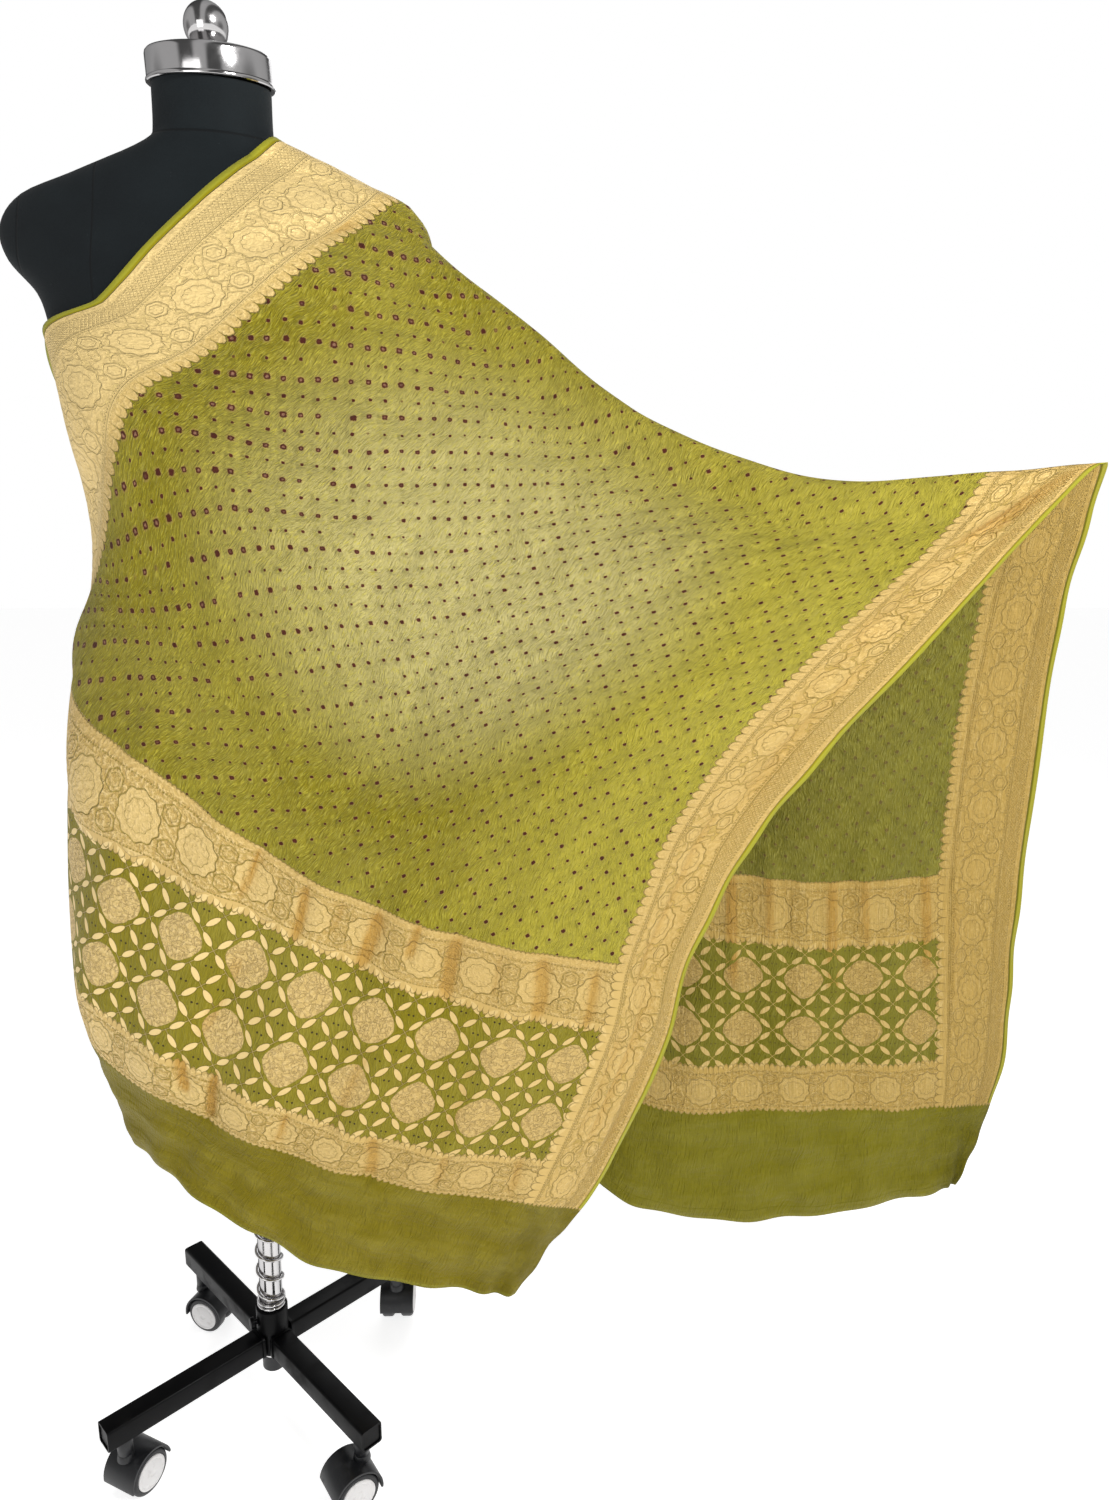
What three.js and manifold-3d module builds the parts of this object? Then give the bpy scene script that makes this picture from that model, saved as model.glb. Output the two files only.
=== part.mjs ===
// A bandhani dupatta hung over a dress form on a castor stand. Millimetres, +Z up.
// The cloth is one woven sheet, folded over the form's right shoulder, with its top corner held out to the side.
// The form and its post lean a little towards the held corner.
import * as THREE from 'three';
import { mergeVertices } from 'three/addons/utils/BufferGeometryUtils.js';
import Module from 'manifold-3d';

const wasm = await Module();
wasm.setup();

// ---- driving sizes -------------------------------------------------------------------------------------------------
const CLOTH_THICK = 2;
const CLOTH_CLEAR = 10.5;             // middle of the cloth to the form where it lies on it
const CELL_ALONG = 40;             // largest cell of the cloth's grid along its length, closer near the fold
const CELL_AT_FOLD = 20;
const CELL_ACROSS = 37;
const LEAN = 0.0165;               // radians, form and post towards the held corner, about the hub's middle
const FORM_TURN = THREE.MathUtils.degToRad(8);   // the form's left shoulder comes forward
const FORM_SIDES = 36;
const PIECE_GAP = 0.3;
const NECK_TOP = 1489;
const FORM_BASE = 745;
const CAP_BAND = 27;               // height of the chromed neck cap's straight band
const CAP_RADIUS = 58.5;
const KNOB_RADIUS = 21;
const KNOB_MIDDLE = 1539;
const POST_RADIUS = 13.5;
const POST_FOOT = 52;
const WIRE_RADIUS = 2.2;
const HUB_RADIUS = 19;
const HUB_LOW = 78;
const HUB_HIGH = 138;
const HUB_PIVOT = 93;              // height the post leans about, the middle of the arms
const ARM_TUBE = 26;               // square tube, outside
const ARM_CORNER = 3;
const ARM_TOP = 106;
const ARM_REACH = 210;             // hub axis to an arm's end
const STEM_REACH = 188;            // hub axis to a castor stem
const STEM_RADIUS = 5.5;
const WHEEL_RADIUS = 25;           // to the flat of a tread facet
const WHEEL_WIDE = 18;
const WHEEL_SIDES = 24;
const WEB_HALF = 4;                // half thickness of the castor body between its two wheels
const HOOD_INNER = 26.4;
const HOOD_OUTER = 29;
const DISC_RADIUS = 19;
const DISC_THICK = 2;

// ---- colours -------------------------------------------------------------------------------------------------------
const paint = (color, roughness, metalness = 0) => new THREE.MeshStandardMaterial({ color, roughness, metalness });
const silk = paint(0xa8a33c, 0.6);
silk.side = THREE.DoubleSide;
const jersey = paint(0x1b2026, 0.85);
const chrome = paint(0xd8d8da, 0.15, 1);
const blackPaint = paint(0x0d0e10, 0.35, 0.2);
const blackPlastic = paint(0x15161a, 0.5);
const discPlastic = paint(0xc9c6c2, 0.5);

// ---- small builders ------------------------------------------------------------------------------------------------
const object = new THREE.Group();
const leaning = new THREE.Group();
leaning.rotation.y = LEAN;
leaning.position.x = -LEAN * HUB_PIVOT;
object.add(leaning);

function piece(name, geometry, material, parent = object) {
  const mesh = new THREE.Mesh(geometry, material);
  mesh.name = name;
  parent.add(mesh);
  return mesh;
}

// A smooth curve through unevenly spaced knots: values are arrays of numbers, one for each knot.
function smooth(knots, values, at) {
  const last = knots.length - 1;
  let i = 0;
  while (i < last - 1 && at >= knots[i + 1]) i += 1;
  const span = knots[i + 1] - knots[i];
  const t = (at - knots[i]) / span;
  const slope = (k, c) => {
    const low = Math.max(k - 1, 0);
    const high = Math.min(k + 1, last);
    return (values[high][c] - values[low][c]) / (knots[high] - knots[low]);
  };
  return values[i].map((start, c) => (1 + 2 * t) * (1 - t) ** 2 * start + t * (1 - t) ** 2 * span * slope(i, c)
    + t * t * (3 - 2 * t) * values[i + 1][c] + t * t * (t - 1) * span * slope(i + 1, c));
}

// Steps between knots, none longer than the cell asked for there.
function steps(knots, cellAt) {
  const list = [knots[0]];
  for (let i = 1; i < knots.length; i += 1) {
    const count = Math.ceil((knots[i] - knots[i - 1]) / cellAt((knots[i] + knots[i - 1]) / 2));
    for (let k = 1; k <= count; k += 1) list.push(knots[i - 1] + (knots[i] - knots[i - 1]) * k / count);
  }
  return list;
}

// Closed skin over stacked rings of points that run anticlockwise seen from above, lowest ring first.
function stack(rings) {
  const count = rings[0].length;
  const points = rings.flat(2);
  const faces = [];
  for (let r = 0; r + 1 < rings.length; r += 1) {
    for (let i = 0; i < count; i += 1) {
      const a = r * count + i;
      const b = r * count + (i + 1) % count;
      faces.push(a, b, b + count, a, b + count, a + count);
    }
  }
  const middle = (ring) => [0, 1, 2].map((c) => ring.reduce((sum, p) => sum + p[c], 0) / count);
  const bottom = rings.length * count;
  points.push(...middle(rings[0]), ...middle(rings[rings.length - 1]));
  const top = (rings.length - 1) * count;
  for (let i = 0; i < count; i += 1) {
    const next = (i + 1) % count;
    faces.push(bottom, next, i, bottom + 1, top + i, top + next);
  }
  const geometry = new THREE.BufferGeometry();
  geometry.setAttribute('position', new THREE.Float32BufferAttribute(points, 3));
  geometry.setIndex(faces);
  return geometry;
}

// ---- dress form ----------------------------------------------------------------------------------------------------
// Half form of stuffed foam under stretched jersey, from the hips to the neck, with short rounded arm stumps.
// Sections by height: half width, half depth, the middle's offset front to back, and how square the oval is.
const FORM = [
  { z: FORM_BASE, wide: 152, deep: 93, middle: 2, square: 2.3 },
  { z: 762, wide: 164, deep: 100, middle: 2, square: 2.3 },
  { z: 800, wide: 173, deep: 106, middle: 3, square: 2.3 },
  { z: 860, wide: 172, deep: 107, middle: 4, square: 2.2 },
  { z: 940, wide: 158, deep: 99, middle: 3, square: 2.1 },
  { z: 1000, wide: 139, deep: 87, middle: 0, square: 2.1 },
  { z: 1060, wide: 131, deep: 82, middle: -3, square: 2.1 },
  { z: 1110, wide: 133, deep: 90, middle: -7, square: 2.1 },
  { z: 1165, wide: 142, deep: 105, middle: -10, square: 2.2 },
  { z: 1220, wide: 150, deep: 104, middle: -10, square: 2.3 },
  { z: 1255, wide: 157, deep: 98, middle: -8, square: 2.4 },
  { z: 1290, wide: 168, deep: 87, middle: -4, square: 2.5 },
  { z: 1322, wide: 195, deep: 74, middle: 0, square: 2.5 },
  { z: 1352, wide: 201, deep: 62, middle: 2, square: 2.4 },
  { z: 1380, wide: 181, deep: 54, middle: 2, square: 2.3 },
  { z: 1400, wide: 137, deep: 51, middle: 2, square: 2.2 },
  { z: 1412, wide: 109, deep: 50, middle: 2, square: 2.2 },
  { z: 1424, wide: 80, deep: 52, middle: 2, square: 2.1 },
  { z: 1434, wide: 60, deep: 54, middle: 0, square: 2 },
  { z: 1442, wide: 56, deep: 55, middle: 0, square: 2 },
  { z: NECK_TOP, wide: 55, deep: 55, middle: 0, square: 2 },
];
const formHeights = FORM.map((row) => row.z);
const formRows = FORM.map((row) => [row.wide, row.deep, row.middle, row.square]);

function formRing(z) {
  const [wide, deep, middle, square] = smooth(formHeights, formRows, z);
  return Array.from({ length: FORM_SIDES }, (_, i) => {
    const turn = 2 * Math.PI * i / FORM_SIDES;
    const reach = (v) => Math.sign(v) * Math.abs(v) ** (2 / square);
    return [wide * reach(Math.cos(turn)), middle + deep * reach(Math.sin(turn)), z];
  });
}

// Below 1 inside the form, 1 on its skin, above 1 outside it.
function formRatio(p) {
  const z = THREE.MathUtils.clamp(p.z, FORM_BASE, NECK_TOP);
  const [wide, deep, middle, square] = smooth(formHeights, formRows, z);
  const x = p.x - LEAN * (p.z - HUB_PIVOT);
  const across = Math.abs(x * Math.cos(FORM_TURN) + p.y * Math.sin(FORM_TURN)) / wide;
  const through = Math.abs(p.y * Math.cos(FORM_TURN) - x * Math.sin(FORM_TURN) - middle) / deep;
  return (across ** square + through ** square) ** (1 / square);
}

// Moves a point of the cloth out until it clears the form, a little at a time.
function liftOffForm(p) {
  const probe = 0.5;
  const largestMove = 12;
  const rounds = 6;
  for (let round = 0; round < rounds; round += 1) {
    if (p.z < FORM_BASE - 2 * CLOTH_CLEAR) return p;
    const slope = ['x', 'y', 'z'].map((axis) => {
      const high = p.clone();
      const low = p.clone();
      high[axis] += probe;
      low[axis] -= probe;
      return (formRatio(high) - formRatio(low)) / (2 * probe);
    });
    const away = new THREE.Vector3(...slope);
    const steep = away.length();
    const distance = (formRatio(p) - 1) / steep;
    if (distance >= CLOTH_CLEAR) return p;
    p.addScaledVector(away, Math.min(CLOTH_CLEAR - distance, largestMove) / steep);
  }
  return p;
}

const torso = piece('torso', stack(steps(formHeights, () => 45).map(formRing)), jersey, leaning);
torso.rotation.z = FORM_TURN;

// Chromed cap over the neck, with a flat band, a low dome and a ball knob on a short foot.
const lathe = (profile, sides) => new THREE.LatheGeometry(profile.map(([r, z]) => new THREE.Vector2(r, z)), sides)
  .rotateX(Math.PI / 2);
const capLow = NECK_TOP + PIECE_GAP;
piece('neck_cap', lathe([[0, capLow], [CAP_RADIUS + 1, capLow], [CAP_RADIUS + 1, capLow + 3], [CAP_RADIUS, capLow + 5],
  [CAP_RADIUS, capLow + CAP_BAND - 3], [CAP_RADIUS - 3, capLow + CAP_BAND], [CAP_RADIUS * 0.6, capLow + CAP_BAND + 3],
  [0, capLow + CAP_BAND + 5]], 36), chrome, leaning);

const knobFoot = capLow + CAP_BAND + 5 + PIECE_GAP;
const ballArc = Array.from({ length: 10 }, (_, i) => {
  const turn = THREE.MathUtils.degToRad(-62 + 152 * i / 9);
  return [i === 9 ? 0 : KNOB_RADIUS * Math.cos(turn), KNOB_MIDDLE + KNOB_RADIUS * Math.sin(turn)];
});
piece('knob', lathe([[0, knobFoot], [12, knobFoot], ...ballArc.filter(([, z]) => z > knobFoot)], 24),
  chrome, leaning);

// ---- post and its wire ---------------------------------------------------------------------------------------------
const postTop = FORM_BASE - PIECE_GAP;
piece('post', new THREE.CylinderGeometry(POST_RADIUS, POST_RADIUS, postTop - POST_FOOT, 24).rotateX(Math.PI / 2)
  .translate(0, 0, (postTop + POST_FOOT) / 2), chrome, leaning);

// The wire winds close at the hub and opens above it.
class Winding extends THREE.Curve {
  getPoint(t) {
    const closeTurns = 2;
    const openTurns = 4;
    const closePitch = 2 * WIRE_RADIUS + 0.4;
    const openPitch = 27;
    const turns = t * (closeTurns + openTurns);
    const rise = Math.min(turns, closeTurns) * closePitch + Math.max(turns - closeTurns, 0) * openPitch;
    const reach = POST_RADIUS + WIRE_RADIUS + 0.9;
    return new THREE.Vector3(reach * Math.cos(2 * Math.PI * turns), reach * Math.sin(2 * Math.PI * turns),
      HUB_HIGH + WIRE_RADIUS + 1 + rise);
  }
}
const wireSection = new THREE.Shape(Array.from({ length: 4 }, (_, i) => new THREE.Vector2(
  WIRE_RADIUS * Math.cos(Math.PI * i / 2), WIRE_RADIUS * Math.sin(Math.PI * i / 2))));
piece('post_wire', new THREE.ExtrudeGeometry(wireSection, { steps: 72, extrudePath: new Winding() }), chrome, leaning);

// ---- cross base ----------------------------------------------------------------------------------------------------
const hubBore = POST_RADIUS + PIECE_GAP;
piece('hub', lathe([[hubBore, HUB_LOW], [HUB_RADIUS, HUB_LOW], [HUB_RADIUS, HUB_HIGH - 1], [HUB_RADIUS - 1, HUB_HIGH],
  [hubBore, HUB_HIGH], [hubBore, HUB_LOW]], 24), blackPaint, leaning);

function tubeOutline(size, corner) {
  const h = size / 2;
  const shape = new THREE.Shape();
  shape.moveTo(h, corner - h);
  shape.lineTo(h, h - corner);
  shape.absarc(h - corner, h - corner, corner, 0, Math.PI / 2);
  shape.absarc(corner - h, h - corner, corner, Math.PI / 2, Math.PI);
  shape.absarc(corner - h, corner - h, corner, Math.PI, Math.PI * 1.5);
  shape.absarc(h - corner, corner - h, corner, Math.PI * 1.5, Math.PI * 2);
  return shape;
}

// ---- castors -------------------------------------------------------------------------------------------------------
function solid(geometry) {
  const bare = geometry.clone();
  bare.deleteAttribute('normal');
  bare.deleteAttribute('uv');
  const merged = mergeVertices(bare, 1e-3);
  return new wasm.Manifold(new wasm.Mesh({
    numProp: 3,
    vertProperties: new Float32Array(merged.attributes.position.array),
    triVerts: new Uint32Array(merged.index.array),
  }));
}

function geometryOf(manifold) {
  const mesh = manifold.getMesh();
  const geometry = new THREE.BufferGeometry();
  geometry.setAttribute('position', new THREE.Float32BufferAttribute(mesh.vertProperties, 3));
  geometry.setIndex(Array.from(mesh.triVerts));
  return geometry;
}

// Castor frame: x along the axle, y the way the wheels trail, z up, the stem at x = y = 0.
const TRAIL = 14;
const BOSS_RADIUS = 8.5;
const BOSS_TOP = 58;

function castorBody() {
  const hoodSpan = [THREE.MathUtils.degToRad(8), THREE.MathUtils.degToRad(188)];
  const arch = new THREE.Shape();
  arch.absarc(0, 0, HOOD_OUTER, hoodSpan[0], hoodSpan[1]);
  arch.absarc(0, 0, HOOD_INNER, hoodSpan[1], hoodSpan[0], true);
  const web = new THREE.Shape();
  web.absarc(0, 0, HOOD_INNER + 1, hoodSpan[0], hoodSpan[1]);
  web.lineTo(-13, -12);
  web.lineTo(13, -12);
  const slab = (shape, half) => new THREE.ExtrudeGeometry(shape, { depth: 2 * half, bevelEnabled: false,
    curveSegments: 10 }).translate(0, 0, -half).rotateX(Math.PI / 2).rotateZ(Math.PI / 2)
    .translate(0, TRAIL, WHEEL_RADIUS);
  const bossHigh = 22;
  const boss = new THREE.CylinderGeometry(BOSS_RADIUS, BOSS_RADIUS, bossHigh, 16).rotateX(Math.PI / 2)
    .translate(0, 0, BOSS_TOP - bossHigh / 2);
  const wheelSpace = new THREE.CylinderGeometry(HOOD_INNER, HOOD_INNER, 60, 32).rotateZ(Math.PI / 2)
    .translate(0, TRAIL, WHEEL_RADIUS);
  const hood = solid(slab(arch, WEB_HALF + WHEEL_WIDE + 0.5));
  return geometryOf(solid(boss).subtract(solid(wheelSpace)).add(hood).add(solid(slab(web, WEB_HALF))));
}

function wheelProfile(radius, near, far, round) {
  return [[0, near], [radius - round, near], [radius, near + round], [radius, far - round], [radius - round, far],
    [0, far]];
}

// Turned about the axle so that a tread facet faces the floor.
function turned(profile) {
  return new THREE.LatheGeometry(profile.map(([r, x]) => new THREE.Vector2(r, x)), WHEEL_SIDES)
    .rotateY(Math.PI / WHEEL_SIDES).rotateZ(-Math.PI / 2).translate(0, TRAIL, WHEEL_RADIUS);
}

const treadRadius = WHEEL_RADIUS / Math.cos(Math.PI / WHEEL_SIDES);
const wheelNear = WEB_HALF + 0.5;
const wheelFar = wheelNear + WHEEL_WIDE - 1.5;
const discNear = wheelFar + PIECE_GAP;

// One row for each arm: the way it runs from the hub and the way its castor's wheels trail, in degrees.
const ARMS = [
  { runs: 225, trails: 65 },
  { runs: 315, trails: 215 },
  { runs: 45, trails: 92 },
  { runs: 135, trails: -20 },
];

ARMS.forEach(({ runs, trails }, i) => {
  const n = i + 1;
  const armStart = HUB_RADIUS + 2 * PIECE_GAP;
  const arm = piece(`arm_${n}`, new THREE.ExtrudeGeometry(tubeOutline(ARM_TUBE, ARM_CORNER), {
    depth: ARM_REACH - armStart, bevelEnabled: false, curveSegments: 2 }).translate(0, 0, armStart)
    .rotateY(Math.PI / 2), blackPaint);
  arm.position.z = ARM_TOP - ARM_TUBE / 2;
  arm.rotation.z = THREE.MathUtils.degToRad(runs);

  const castor = new THREE.Group();
  castor.position.set(STEM_REACH * Math.cos(arm.rotation.z), STEM_REACH * Math.sin(arm.rotation.z), 0);
  castor.rotation.z = THREE.MathUtils.degToRad(trails - 90);
  object.add(castor);
  const stemLow = BOSS_TOP + PIECE_GAP;
  const stemHigh = ARM_TOP - ARM_TUBE - PIECE_GAP;
  piece(`castor_stem_${n}`, new THREE.CylinderGeometry(STEM_RADIUS, STEM_RADIUS, stemHigh - stemLow, 16)
    .rotateX(Math.PI / 2).translate(0, 0, (stemHigh + stemLow) / 2), chrome, castor);
  piece(`castor_body_${n}`, castorBody(), blackPlastic, castor);
  for (const [side, sign] of [['a', 1], ['b', -1]]) {
    const facing = new THREE.Group();
    facing.scale.x = 1;
    castor.add(facing);
    if (sign < 0) {
      facing.rotation.z = Math.PI;
      facing.position.y = 2 * TRAIL;
    }
    piece(`castor_wheel_${n}_${side}`, turned(wheelProfile(treadRadius, wheelNear, wheelFar, 3)), blackPlastic, facing);
    piece(`castor_disc_${n}_${side}`, turned([[0, discNear], [DISC_RADIUS, discNear],
      [DISC_RADIUS - 1, discNear + DISC_THICK], [0, discNear + DISC_THICK]]), discPlastic, facing);
  }
});

// ---- the dupatta ---------------------------------------------------------------------------------------------------
// Flat sizes: 940 across from the neck edge to the free edge, 1970 along from the front hem over the shoulder fold
// (at 1070) to the back hem. Columns name lines that run along the cloth, by their place across it.
const COLUMNS = { neckEdge: 0, neckBorder: 117, sideTurn: 200, leftField: 300, middle: 470, rightField: 650,
  freeBorder: 823, freeEdge: 940 };

// Where each line hangs: one row for each section, by its place along the cloth.
const SECTIONS = [
  { along: 0, name: 'front hem', neckEdge: [18, 110, 575], neckBorder: [-72, 126, 490], sideTurn: [-135, 98, 438],
    leftField: [-162, 20, 383], middle: [-72, -78, 364], rightField: [80, -95, 272], freeBorder: [250, -90, 232],
    freeEdge: [305, -80, 220] },
  { along: 115, name: 'front plain end', neckEdge: [-28, 114, 685], neckBorder: [-122, 108, 615],
    sideTurn: [-176, 60, 548], leftField: [-172, -30, 500], middle: [-20, -88, 436], rightField: [139, -90, 372],
    freeBorder: [312, -90, 338], freeEdge: [375, -68, 315] },
  { along: 185, name: 'front lower band', neckEdge: [-46, 116, 755], neckBorder: [-140, 92, 690],
    sideTurn: [-198, 24, 624], leftField: [-156, -60, 580], middle: [0, -92, 492], rightField: [170, -92, 426],
    freeBorder: [340, -92, 400], freeEdge: [415, -64, 376] },
  { along: 340, name: 'front lattice', neckEdge: [-74, 110, 905], neckBorder: [-160, 58, 838],
    sideTurn: [-178, -15, 786], leftField: [-88, -92, 748], middle: [68, -102, 668], rightField: [232, -100, 592],
    freeBorder: [399, -95, 551], freeEdge: [476, -58, 527] },
  { along: 425, name: 'front upper band', neckEdge: [-96, 94, 998], neckBorder: [-160, 4, 952],
    sideTurn: [-124, -68, 898], leftField: [-52, -106, 850], middle: [92, -106, 738], rightField: [250, -102, 667],
    freeBorder: [416, -92, 630], freeEdge: [498, -53, 615] },
  { along: 495, name: 'hip', neckEdge: [-118, 68, 1075], neckBorder: [-114, -58, 1010], sideTurn: [-74, -95, 962],
    leftField: [-4, -116, 898], middle: [134, -109, 790], rightField: [285, -100, 734], freeBorder: [441, -84, 698],
    freeEdge: [530, -48, 684] },
  { along: 570, name: 'waist', neckEdge: [-140, 32, 1150], neckBorder: [-78, -98, 1058], sideTurn: [-34, -112, 1010],
    leftField: [38, -122, 946], middle: [178, -110, 845], rightField: [322, -98, 803], freeBorder: [468, -75, 766],
    freeEdge: [566, -43, 750] },
  { along: 700, name: 'under the arm', neckEdge: [-136, -52, 1250], neckBorder: [-34, -122, 1180],
    sideTurn: [24, -124, 1126], leftField: [98, -126, 1055], middle: [237, -104, 945], rightField: [387, -85, 903],
    freeBorder: [541, -58, 870], freeEdge: [650, -32, 855] },
  { along: 800, name: 'bust', neckEdge: [-62, -108, 1276], neckBorder: [40, -120, 1228], sideTurn: [98, -122, 1174],
    leftField: [166, -118, 1112], middle: [288, -88, 1015], rightField: [447, -70, 968], freeBorder: [611, -43, 943],
    freeEdge: [722, -23, 935] },
  { along: 910, name: 'chest', neckEdge: [10, -104, 1344], neckBorder: [117, -103, 1296], sideTurn: [174, -100, 1240],
    leftField: [242, -88, 1178], middle: [352, -62, 1085], rightField: [518, -48, 1037], freeBorder: [690, -27, 1015],
    freeEdge: [800, -12, 1020] },
  { along: 1010, name: 'front of the shoulder', neckEdge: [64, -50, 1410], neckBorder: [170, -48, 1352],
    sideTurn: [226, -42, 1296], leftField: [296, -36, 1232], middle: [410, -28, 1140], rightField: [588, -22, 1087],
    freeBorder: [762, -12, 1084], freeEdge: [869, -5, 1100] },
  { along: 1070, name: 'fold', neckEdge: [84, 4, 1434], neckBorder: [189, 4, 1378], sideTurn: [247, 2, 1330],
    leftField: [324, 0, 1273], middle: [440, 0, 1187], rightField: [620, 0, 1125], freeBorder: [798, 0, 1131],
    freeEdge: [917, 0, 1141] },
  { along: 1120, name: 'back of the shoulder', neckEdge: [80, 48, 1416], neckBorder: [186, 46, 1360],
    sideTurn: [244, 38, 1300], leftField: [322, 28, 1232], middle: [440, 22, 1140], rightField: [620, 20, 1078],
    freeBorder: [822, 18, 1086], freeEdge: [915, 13, 1092] },
  { along: 1220, name: 'shoulder blade', neckEdge: [76, 100, 1332], neckBorder: [182, 92, 1276],
    sideTurn: [243, 76, 1208], leftField: [322, 62, 1134], middle: [441, 50, 1040], rightField: [625, 45, 983],
    freeBorder: [815, 36, 995], freeEdge: [905, 30, 993] },
  { along: 1370, name: 'middle of the back', neckEdge: [72, 118, 1185], neckBorder: [180, 115, 1128],
    sideTurn: [243, 100, 1060], leftField: [324, 86, 982], middle: [445, 72, 884], rightField: [630, 65, 836],
    freeBorder: [806, 53, 848], freeEdge: [905, 50, 850] },
  { along: 1545, name: 'back upper band', neckEdge: [70, 116, 1010], neckBorder: [180, 120, 954],
    sideTurn: [246, 110, 884], leftField: [328, 95, 800], middle: [454, 75, 702], rightField: [638, 62, 668],
    freeBorder: [804, 60, 675], freeEdge: [904, 60, 675] },
  { along: 1630, name: 'back lattice', neckEdge: [70, 122, 925], neckBorder: [182, 124, 870],
    sideTurn: [249, 112, 799], leftField: [330, 96, 708], middle: [458, 74, 614], rightField: [640, 62, 582],
    freeBorder: [809, 60, 592], freeEdge: [902, 60, 590] },
  { along: 1785, name: 'back lower band', neckEdge: [72, 130, 771], neckBorder: [186, 124, 716],
    sideTurn: [253, 110, 645], leftField: [336, 92, 545], middle: [462, 70, 440], rightField: [645, 64, 430],
    freeBorder: [820, 60, 435], freeEdge: [903, 60, 435] },
  { along: 1855, name: 'back plain end', neckEdge: [72, 128, 702], neckBorder: [188, 120, 646],
    sideTurn: [256, 106, 575], leftField: [338, 88, 468], middle: [462, 68, 362], rightField: [650, 62, 360],
    freeBorder: [823, 60, 364], freeEdge: [890, 60, 368] },
  { along: 1970, name: 'back hem', neckEdge: [72, 118, 589], neckBorder: [192, 110, 532], sideTurn: [263, 96, 458],
    leftField: [342, 78, 343], middle: [452, 62, 230], rightField: [652, 60, 213], freeBorder: [828, 60, 250],
    freeEdge: [857, 60, 262] },
];

// Wide soft folds: each runs from one place on the flat cloth to another, [along, across]. Depth is outwards from the
// cloth's right side, so a trough's is below zero.
const FOLDS = [
  { name: 'trough from the held corner', from: [1040, 900], to: [800, 858], half: 24, depth: -9 },
  { name: 'trough down the free border', from: [760, 900], to: [330, 884], half: 24, depth: -9 },
  { name: 'first flute', from: [520, 285], to: [120, 300], half: 30, depth: 8 },
  { name: 'second flute', from: [500, 385], to: [90, 400], half: 30, depth: 9 },
  { name: 'third flute', from: [500, 492], to: [60, 505], half: 30, depth: 10 },
  { name: 'fourth flute', from: [500, 605], to: [60, 610], half: 30, depth: 9 },
  { name: 'fifth flute', from: [480, 715], to: [60, 715], half: 28, depth: 8 },
  { name: 'first back flute', from: [1420, 545], to: [1900, 540], half: 32, depth: -9 },
  { name: 'second back flute', from: [1420, 650], to: [1930, 655], half: 32, depth: -9 },
  { name: 'third back flute', from: [1440, 760], to: [1930, 765], half: 30, depth: -8 },
];

// Depth of all the folds at one place, each fading towards its two ends.
function foldDepth(along, across) {
  const fade = 0.22;
  return FOLDS.reduce((sum, { from, to, half, depth }) => {
    const run = new THREE.Vector2(to[0] - from[0], to[1] - from[1]);
    const here = new THREE.Vector2(along - from[0], across - from[1]);
    const part = here.dot(run) / run.lengthSq();
    const side = here.cross(run) / run.length();
    const ends = THREE.MathUtils.smoothstep(part, 0, fade) * (1 - THREE.MathUtils.smoothstep(part, 1 - fade, 1));
    return sum + depth * ends * Math.exp(-((side / half) ** 2));
  }, 0);
}

const lines = Object.keys(COLUMNS);
const acrossKnots = Object.values(COLUMNS);
const alongKnots = SECTIONS.map((section) => section.along);

function hangPoint(along, across) {
  const places = SECTIONS.map((section) => smooth(acrossKnots, lines.map((line) => section[line]), across));
  return new THREE.Vector3(...smooth(alongKnots, places, along));
}

// The right side's direction, from the places a little way off on both sides.
function facing(along, across) {
  const reach = 4;
  const up = hangPoint(along + reach, across).sub(hangPoint(along - reach, across));
  const right = hangPoint(along, across + reach).sub(hangPoint(along, across - reach));
  return right.cross(up).normalize();
}

function clothPoint(along, across) {
  return liftOffForm(hangPoint(along, across).addScaledVector(facing(along, across), foldDepth(along, across)));
}

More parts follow.
